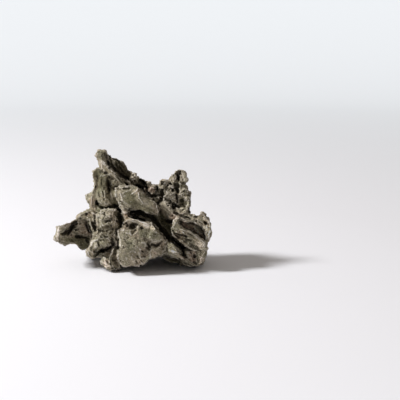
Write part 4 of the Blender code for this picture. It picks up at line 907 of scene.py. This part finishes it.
def sculptFront(mesh):
    # The drawn detail, pushed along the line of sight
    allPoints = readVectors(mesh, "co")
    allDrawn, allSight = asDrawn(allPoints)
    seen = smoothed(seenFromFront(mesh, allPoints, allSight), edgePairs(mesh), front["seenRounds"])
    shown = np.flatnonzero(seen > 0)
    points = allPoints[shown]
    straight = allDrawn[shown]
    drawn = straight.copy()
    for spacing, amount in front["wander"]:
        for axis, way in enumerate(("right", "down")):
            drawn[:, axis] += amount * noiseAt(points, spacing, noiseShift[way])
    spacing, amount = front["breadth"]
    breadth = 1 + amount * noiseAt(points, spacing, noiseShift["breadth"])

    cut, dark = drawStrokes(cracks, drawn, breadth)
    hole, shade = drawPits(drawn, breadth)
    raised, pale = drawStrokes(ridges, drawn, breadth)
    dark = np.maximum(dark, shade)
    rise = raised * front["ridge"] - np.maximum(cut, hole)
    tone = np.zeros(len(points))
    addLayers(rise, tone, points, straight, drawn)
    crumb = addCrumbs(tone, points, drawn)
    tone += pale * front["ridgePale"]
    # the cracks and pits are painted in shade
    tone = tone * (1 - np.clip(dark, 0, 1)) - dark
    # painted light and shade by zone, and the rock's hues
    paintedLightAndTone, hue = paintedLightAndHue(drawn)
    allPoints[shown] -= allSight[shown] * (rise * seen[shown])[:, None]
    writePoints(mesh, allPoints)

    def spread(values):
        whole = np.zeros(len(allPoints))
        whole[shown] = values * seen[shown]
        return whole

    colours = {"tone": spread(tone), "paintedLightAndTone": spread(paintedLightAndTone), "hue": spread(hue)}
    return seen, spread(crumb), 1 - spread(calmed(drawn)), colours


# Relief that runs all over the stone: spacing and height in mm, how far the pattern is bent out of line,
# the share that is kept whatever is drawn on the front, and the level from which its height is counted
relief = {
    "scallop": dict(spacing=6.5, height=1.5, bent=2.0, kept=0.0, level=0.6),
    "pock": dict(spacing=2.4, height=0.6, bent=1.0, kept=0.75, level=0.6),
    "lump": dict(spacing=5.0, height=0.5, falling=0.9, finer=2.1, rounds=4),
    "crest": dict(spacing=4.2, height=0.55, kept=0.6, falling=1.0, finer=2.1, rounds=3, offset=1.0,
                  gain=2.0),
    "chip": dict(spacing=7.0, height=2.9, bent=1.5, kept=0.35, planes=3, uneven=0.3, scatter=3.3,
                 tilts=5.1),
    "seam": dict(spacing=10.0, depth=1.5, width=0.07),
    "bed": dict(spacing=3.4, height=1.0, bent=1.6, length=6.0, level=0.6, slope=2.4),
    "across": (0.62, 0.28, 0.73),  # square to the beds, which dip to the right
    "stretch": 0.3,                # how far the relief is drawn out along the beds
    "bends": 11.0,                 # mm between the bends that the patterns share
    "sink": 0.45,                  # mm that the whole skin gives for the relief that stands on it
}


def chipHeights(points):
    # Broken faces: each cell is a small plane of its own tilt, and the planes meet in crisp edges
    chip = relief["chip"]
    heights = np.empty(len(points))
    for i, point in enumerate(points):
        place = Vector(point) / chip["spacing"]
        planes = []
        for cell in noise.voronoi(place)[1][:chip["planes"]]:
            tilt = noise.noise_vector(cell * chip["tilts"])
            planes.append(chip["uneven"] * noise.noise(cell * chip["scatter"]) + (place - cell).dot(tilt))
        heights[i] = min(planes)
    return heights - heights.mean()


def sculptOverall(mesh, seen, crumb, free):
    # Scallops, pocks, lumps, crests, chips, seams and beds all over, less where the front is drawn
    scallop, pock, lump, crest, chip, seam, bed = (
        relief[kind] for kind in ("scallop", "pock", "lump", "crest", "chip", "seam", "bed"))
    hidden = 1 - (1 - front["share"]) * seen
    points = readVectors(mesh, "co")
    normals = readVectors(mesh, "normal")
    across = Vector(relief["across"]).normalized()
    through = points @ np.array(across)
    drawnOut = np.outer(through, across) + (points - np.outer(through, across)) * relief["stretch"]
    mixed = points * 0.5 + drawnOut * 0.5
    bends = noiseAt(points, relief["bends"])

    def cells(kind, places):
        # How far each place is from the middle of its cell
        bent = places + bends[:, None] * kind["bent"]
        return sampled(lambda p: noise.voronoi(p / kind["spacing"])[0][0], bent)

    def lumps(p):
        return noise.fractal(p / lump["spacing"], lump["falling"], lump["finer"], lump["rounds"])

    def crests(p):
        return noise.ridged_multi_fractal(p / crest["spacing"], crest["falling"], crest["finer"],
                                          crest["rounds"], crest["offset"], crest["gain"])

    def kept(kind):
        return kind["kept"] + (1 - kind["kept"]) * hidden

    height = scallop["height"] * (cells(scallop, mixed) - scallop["level"]) * kept(scallop)
    height += pock["height"] * (cells(pock, points) - pock["level"]) * kept(pock)
    height += lump["height"] * sampled(lumps, points)
    ridged = sampled(crests, mixed)
    height += crest["height"] * (ridged - ridged.mean()) * kept(crest)
    height += chip["height"] * chipHeights(mixed + bends[:, None] * chip["bent"]) * kept(chip)
    offSeam = np.abs(noiseAt(drawnOut, seam["spacing"], noiseShift["seam"]))
    height -= seam["depth"] * np.clip(1 - offSeam / seam["width"], 0, 1) * hidden
    level = drawnOut[:, :2] / bed["length"]
    waves = noiseAt(np.column_stack((level, (through + bed["bent"] * bends) / bed["spacing"])))
    height += bed["height"] * (bed["level"] - np.abs(waves) * bed["slope"]) * (1 - seen)
    height = height * free + crumb - relief["sink"]
    points += normals * height[:, None]
    points[:, 2] = np.maximum(points[:, 2], 0)
    writePoints(mesh, points)


# Where the skin is shut in or bends inward it gets painted shade, and where it bends outward its edges wear.
# Lengths in mm
wearAndShade = {
    "rays": 14,            # from each point, to see how shut in it is
    "reach": 22.0,
    "start": 0.3,          # how far off the skin a ray begins
    "far": 0.5,            # how much less a thing at the end of its reach shuts in
    "aslant": (0.31, 0.52, 0.79),  # the first side from a normal is square to this
    "usualEdge": 0.63,     # bends are read as if the skin's edges had this length
    "evening": 1.1,        # how strongly that counts
    "fineRounds": 2,
    "broadRounds": 10,
    "shutInRounds": 1,
}


def shutIn(mesh, points, normals):
    # How much of the open air each point is shut off from
    tree = rayTree(mesh, points)
    turn = pi * (3 - 5 ** 0.5)
    rays = []
    for i in range(wearAndShade["rays"]):
        height = (i + 0.5) / wearAndShade["rays"]
        ring = (1 - height) ** 0.5
        rays.append((ring * cos(i * turn), ring * sin(i * turn), height ** 0.5))
    side = np.cross(normals, wearAndShade["aslant"])
    side /= np.linalg.norm(side, axis=1)[:, None]
    other = np.cross(normals, side)
    blocked = np.zeros(len(points))
    for a, b, c in rays:
        ways = side * a + other * b + normals * c
        for i, (start, way) in enumerate(zip(points + normals * wearAndShade["start"], ways)):
            hit = tree.ray_cast(Vector(start), Vector(way), wearAndShade["reach"])
            if hit[0] is not None:
                blocked[i] += 1 - wearAndShade["far"] * hit[3] / wearAndShade["reach"]
    return blocked / wearAndShade["rays"]


def markSkin(mesh):
    # Worn edges, and painted shade in creases and shut-in places, read from the finished shape
    points = readVectors(mesh, "co")
    normals = readVectors(mesh, "normal")
    pairs = edgePairs(mesh)
    lengths = np.linalg.norm(points[pairs[:, 0]] - points[pairs[:, 1]], axis=1)
    around = np.bincount(pairs.ravel(), np.repeat(lengths, 2)) / np.bincount(pairs.ravel())
    evened = (wearAndShade["usualEdge"] / around) ** wearAndShade["evening"]
    bend = np.einsum("ij,ij->i", points - neighbourMean(points, pairs), normals) * evened
    wide = points
    for _ in range(wearAndShade["broadRounds"]):
        wide = (wide + neighbourMean(wide, pairs)) / 2
    store(mesh, "fineBend", smoothed(bend, pairs, wearAndShade["fineRounds"]))
    store(mesh, "broadBend", np.einsum("ij,ij->i", points - wide, normals) * evened)
    store(mesh, "shutIn", smoothed(shutIn(mesh, points, normals), pairs, wearAndShade["shutInRounds"]))


stoneColours = {
    "grey": (0.262, 0.228, 0.162),
    "green": (0.206, 0.191, 0.119),
    "warm": (0.285, 0.210, 0.146),
    "pale": (0.53, 0.485, 0.425),
    # dark is the painted shade in creases, cracks and shut-in places, and the specks
    "dark": (0.018, 0.014, 0.008),
    "fleck": (0.80, 0.78, 0.74),
}

# Patterns in the rock: size in metres, the part of the noise that is read, what comes out at its ends, and
# the mark on the skin that shifts it
patterns = {
    "green": dict(size=0.022, low=0.42, high=0.72, shift=("hue", -0.22)),
    "warm": dict(size=0.013, detail=4.0, low=0.48, high=0.85, shift=("hue", 0.4)),
    "mottle": dict(size=0.0045, detail=5.0, roughness=0.6, low=0.3, high=0.72, bottom=0.62, top=1.35),
    "grain": dict(size=0.0011, detail=4.0, roughness=0.75, low=0.3, high=0.7, bottom=0.38, top=1.85),
    "veinPatches": dict(size=0.017, low=0.46, high=0.6),
    "speckPatches": dict(size=0.007, low=0.42, high=0.58),
    "wearPatches": dict(size=0.004, low=0.35, high=0.6, bottom=0.3),
    "flecks": dict(size=0.0011, detail=1.0, roughness=0.4, low=0.71, high=0.745, top=0.85,
                   shift=("tone", 0.1)),
    "gloss": dict(size=0.002, low=0.3, high=0.7, bottom=0.72, top=0.95),
}

# What the marks on the skin do to the colour, one after the other: where each begins and is full, how much
# of the tint it brings, and the pattern that breaks it up
tints = [
    dict(mark="tone", low=0.0, high=1.2, share=0.85, tint="pale"),
    dict(mark="fineBend", low=0.015, high=0.11, share=0.8, tint="pale", patches="wearPatches"),
    dict(mark="broadBend", low=0.15, high=0.9, share=0.3, tint="pale"),
    # painted shade: darker in fine creases, broad hollows and shut-in places
    dict(mark="fineBend", low=-0.02, high=-0.15, share=0.7, tint="dark"),
    dict(mark="broadBend", low=-0.15, high=-0.9, share=0.6, tint="dark"),
    dict(mark="shutIn", low=0.5, high=0.95, share=0.8, tint="dark"),
    # painted shade in the cracks and pits, and darker low crumbs and layers
    dict(mark="tone", low=0.0, high=-1.3, share=0.85, tint="dark"),
]

surface = {
    "vein": dict(size=0.011, detail=4.0, roughness=0.6, turn=(0.2, 0.5, 0.0), stretch=(1.0, 1.0, 1.8)),
    "veinWidth": (0.003, 0.010), "veinShare": 0.65,
    "speckSize": 0.0021, "speckWidth": (0.12, 0.34), "speckShare": 0.5,
    "darkWarmth": 1.18,    # how much more blue than red the painted shade takes away
    "paleWarmth": 0.2,     # the share of that which the painted light gives back
    "specular": 0.3,
    "fineBump": dict(size=0.0012, detail=4.0, roughness=0.6),
    "coarseBump": dict(size=0.004, detail=4.0, roughness=0.6), "coarseShare": 2.0,
    "bumpStrength": 0.85, "bumpDistance": 0.0007,
}


def addNode(tree, kind, values=None, **settings):
    made = tree.nodes.new(kind)
    for name, value in settings.items():
        setattr(made, name, value)
    for name, value in (values or {}).items():
        socket = made.inputs[name]
        if hasattr(value, "is_linked"):
            tree.links.new(value, socket)
        else:
            socket.default_value = value
    return made


def mixColours(tree, share, a, b, blend="MIX"):
    mix = addNode(tree, "ShaderNodeMix", data_type="RGBA", blend_type=blend, clamp_result=True)
    for number, value in ((0, share), (6, a), (7, b)):  # the sockets of a colour mix: factor, A and B
        if hasattr(value, "is_linked"):
            tree.links.new(value, mix.inputs[number])
        else:
            mix.inputs[number].default_value = (*value, 1.0) if isinstance(value, tuple) else value
    return mix.outputs[2]


def stoneMaterial():
    material = bpy.data.materials.new("seiryuLimestone")
    material.use_nodes = True
    tree = material.node_tree
    shader = tree.nodes["Principled BSDF"]
    place = addNode(tree, "ShaderNodeTexCoord").outputs["Object"]
    marks = {}
    for name in ("tone", "paintedLightAndTone", "hue", "fineBend", "broadBend", "shutIn"):
        marks[name] = addNode(tree, "ShaderNodeAttribute", attribute_name=name).outputs["Fac"]

    def maths(operation, a, b):
        return addNode(tree, "ShaderNodeMath", {0: a, 1: b}, operation=operation).outputs[0]

    def ranged(value, low, high, bottom=0.0, top=1.0):
        return addNode(tree, "ShaderNodeMapRange", {
            "Value": value, "From Min": low, "From Max": high, "To Min": bottom, "To Max": top,
        }).outputs["Result"]

    def cloud(size, detail=3.0, roughness=0.55, turn=None, stretch=None):
        where = place
        if turn:
            turned = {"Vector": place, "Rotation": turn, "Scale": stretch}
            where = addNode(tree, "ShaderNodeMapping", turned).outputs["Vector"]
        return addNode(tree, "ShaderNodeTexNoise", {
            "Vector": where, "Scale": 1 / size, "Detail": detail, "Roughness": roughness}).outputs["Fac"]

    def pattern(low, high, bottom=0.0, top=1.0, shift=None, **cloudValues):
        value = cloud(**cloudValues)
        if shift:
            mark, amount = shift
            value = maths("ADD", value, maths("MULTIPLY", marks[mark], amount))
        return ranged(value, low, high, bottom, top)

    def tinted(colour, mark, low, high, share, tint, patches=None):
        amount = ranged(marks[mark], low, high, 0.0, share)
        if patches:
            amount = maths("MULTIPLY", amount, pattern(**patterns[patches]))
        return mixColours(tree, amount, colour, stoneColours[tint])

    def dimmed(colour, red, green, blue):
        gains = addNode(tree, "ShaderNodeCombineColor", {"Red": red, "Green": green, "Blue": blue})
        return mixColours(tree, 1.0, colour, gains.outputs["Color"], "MULTIPLY")

    # Three rock tones, mottled and grained
    colour = mixColours(tree, pattern(**patterns["green"]), stoneColours["grey"], stoneColours["green"])
    colour = mixColours(tree, pattern(**patterns["warm"]), colour, stoneColours["warm"])
    grain = maths("MULTIPLY", pattern(**patterns["mottle"]), pattern(**patterns["grain"]))
    colour = dimmed(colour, grain, grain, grain)

    # Thin pale veins and small dark specks, both in patches
    fromVein = maths("ABSOLUTE", maths("SUBTRACT", cloud(**surface["vein"]), 0.5), 0.0)
    veined = maths("MULTIPLY", ranged(fromVein, *surface["veinWidth"], surface["veinShare"], 0.0),
                   pattern(**patterns["veinPatches"]))
    colour = mixColours(tree, veined, colour, stoneColours["pale"])
    cells = {"Vector": place, "Scale": 1 / surface["speckSize"]}
    fromSpeck = addNode(tree, "ShaderNodeTexVoronoi", cells).outputs["Distance"]
    specked = maths("MULTIPLY", ranged(fromSpeck, *surface["speckWidth"], surface["speckShare"], 0.0),
                    pattern(**patterns["speckPatches"]))
    colour = mixColours(tree, specked, colour, stoneColours["dark"])

    for row in tints:
        colour = tinted(colour, **row)

    # Painted light of 1 doubles the colour and painted shade of -1 halves it, and the painted shade is
    # warmer
    gain = maths("POWER", 2.0, marks["paintedLightAndTone"])
    lessBlue = maths("MINIMUM", marks["paintedLightAndTone"], maths("MULTIPLY", marks["paintedLightAndTone"], surface["paleWarmth"]))
    blueGain = maths("MULTIPLY", gain, maths("POWER", surface["darkWarmth"], lessBlue))
    colour = dimmed(colour, gain, gain, blueGain)
    colour = mixColours(tree, pattern(**patterns["flecks"]), colour, stoneColours["fleck"])
    tree.links.new(colour, shader.inputs["Base Color"])
    tree.links.new(pattern(**patterns["gloss"]), shader.inputs["Roughness"])
    shader.inputs["Specular IOR Level"].default_value = surface["specular"]
    coarse = maths("MULTIPLY", cloud(**surface["coarseBump"]), surface["coarseShare"])
    bump = addNode(tree, "ShaderNodeBump", {
        "Height": maths("ADD", cloud(**surface["fineBump"]), coarse),
        "Strength": surface["bumpStrength"], "Distance": surface["bumpDistance"]})
    tree.links.new(bump.outputs["Normal"], shader.inputs["Normal"])
    return material


def makeStone():
    stone = startSkin()
    print("net:", len(stone.data.vertices), "points")
    soften(stone.data)
    pullOutline(stone.data)
    seen, crumb, free, colours = sculptFront(stone.data)
    print("front sculpted")
    sculptOverall(stone.data, seen, crumb, free)
    for name, values in colours.items():
        store(stone.data, name, values)
    print("overall relief sculpted")
    reduceSkin(stone, seen)
    markSkin(stone.data)
    print("skin:", len(stone.data.polygons), "faces")
    points = (readVectors(stone.data, "co") - np.array(drawing["middle"])) * drawing["metres"]
    writePoints(stone.data, points)
    stone.data.shade_smooth()
    stone.data.materials.clear()
    stone.data.materials.append(stoneMaterial())
    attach(stone, "root")
    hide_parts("stone")


# Lengths in metres
studio = {
    "floorRadius": 1.6, "sweepRadius": 0.5, "sweepSteps": 12, "wallHeight": 0.95, "sides": 96,
    "paperColour": (0.87, 0.87, 0.915), "wallColour": (0.22, 0.22, 0.23),
    "paperRoughness": 0.8, "paperSpecular": 0.2,
    "glowColour": (0.93, 0.97, 1.0), "wallGlow": 0.76,
    "glowFrom": 0.35, "glowTo": 2.1,  # how far from the stone the glow begins and is full
    "skyColour": (1.0, 0.93, 0.84), "skyStrength": 0.34,
    "keyPlace": (-1.88, -0.365, 1.607), "keyAim": (0.0, 0.0, 0.05), "keySize": 0.5, "keyPower": 76.0,
    "nearest": 0.01,                  # what the camera still shows
}


def makePaper():
    # White paper that glows to the eye far from the stone, but adds no light to it
    paper = bpy.data.materials.new("palePaper")
    paper.use_nodes = True
    tree = paper.node_tree
    shader = tree.nodes["Principled BSDF"]
    shader.inputs["Roughness"].default_value = studio["paperRoughness"]
    shader.inputs["Specular IOR Level"].default_value = studio["paperSpecular"]
    shader.inputs["Emission Color"].default_value = (*studio["glowColour"], 1)
    place = addNode(tree, "ShaderNodeTexCoord").outputs["Object"]
    away = addNode(tree, "ShaderNodeVectorMath", {"Vector": place}, operation="LENGTH").outputs["Value"]
    rise = addNode(tree, "ShaderNodeMapRange", {
        "Value": away, "From Min": studio["glowFrom"], "From Max": studio["glowTo"]}).outputs["Result"]
    tree.links.new(mixColours(tree, rise, studio["paperColour"], studio["wallColour"]),
                   shader.inputs["Base Color"])
    shown = addNode(tree, "ShaderNodeLightPath").outputs["Is Camera Ray"]
    glow = addNode(tree, "ShaderNodeMath", {0: rise, 1: studio["wallGlow"]}, operation="MULTIPLY")
    seenGlow = addNode(tree, "ShaderNodeMath", {0: glow.outputs[0], 1: shown}, operation="MULTIPLY")
    tree.links.new(seenGlow.outputs[0], shader.inputs["Emission Strength"])
    return paper


def makeSweep():
    # A round sweep of paper, so that the stone stands before it from every side
    bm = bmesh.new()
    middle = bm.verts.new((0, 0, 0))
    foot = bm.verts.new((studio["floorRadius"], 0, 0))
    bm.edges.new((middle, foot))
    bend = studio["sweepRadius"]
    swept = bmesh.ops.spin(bm, geom=[foot], cent=(studio["floorRadius"], 0, bend), axis=(0, -1, 0),
                           angle=radians(90), steps=studio["sweepSteps"])
    top = next(item for item in swept["geom_last"] if isinstance(item, bmesh.types.BMVert))
    crest = bm.verts.new(top.co + Vector((0, 0, studio["wallHeight"] - bend)))
    bm.edges.new((top, crest))
    bmesh.ops.spin(bm, geom=bm.verts[:] + bm.edges[:], cent=(0, 0, 0), axis=(0, 0, 1),
                   angle=radians(360), steps=studio["sides"], use_merge=True)
    bmesh.ops.remove_doubles(bm, verts=bm.verts, dist=1e-5)
    bmesh.ops.recalc_face_normals(bm, faces=bm.faces)
    mesh = bpy.data.meshes.new("paperSweep")
    bm.to_mesh(mesh)
    bm.free()
    mesh.shade_smooth()
    mesh.materials.append(makePaper())
    sweep = bpy.data.objects.new("paperSweep", mesh)
    bpy.context.scene.collection.objects.link(sweep)


def makeLights():
    world = bpy.data.worlds.new("softRoom")
    world.use_nodes = True
    world.node_tree.nodes["Background"].inputs["Color"].default_value = (*studio["skyColour"], 1)
    world.node_tree.nodes["Background"].inputs["Strength"].default_value = studio["skyStrength"]
    bpy.context.scene.world = world
    light = bpy.data.lights.new("key", "AREA")
    light.size = studio["keySize"]
    light.energy = studio["keyPower"]
    key = bpy.data.objects.new("key", light)
    bpy.context.scene.collection.objects.link(key)
    key.location = studio["keyPlace"]
    key.rotation_euler = (Vector(studio["keyAim"]) - key.location).to_track_quat("-Z", "Y").to_euler()
    bpy.context.scene.view_settings.view_transform = "Standard"


def makeCamera():
    lens = bpy.data.cameras.new("camera")
    camera = bpy.data.objects.new("camera", lens)
    bpy.context.scene.collection.objects.link(camera)
    lens.lens = lens.sensor_width * drawing["distance"] / drawing["field"]
    lens.clip_start = studio["nearest"]
    camera.location = Vector((eye - np.array(drawing["middle"])) * drawing["metres"])
    camera.rotation_euler = Vector(toward).to_track_quat("-Z", "Y").to_euler()
    bpy.context.scene.camera = camera


makeStone()
print("stone made")
makeSweep()
makeLights()
makeCamera()
print("studio and camera made")
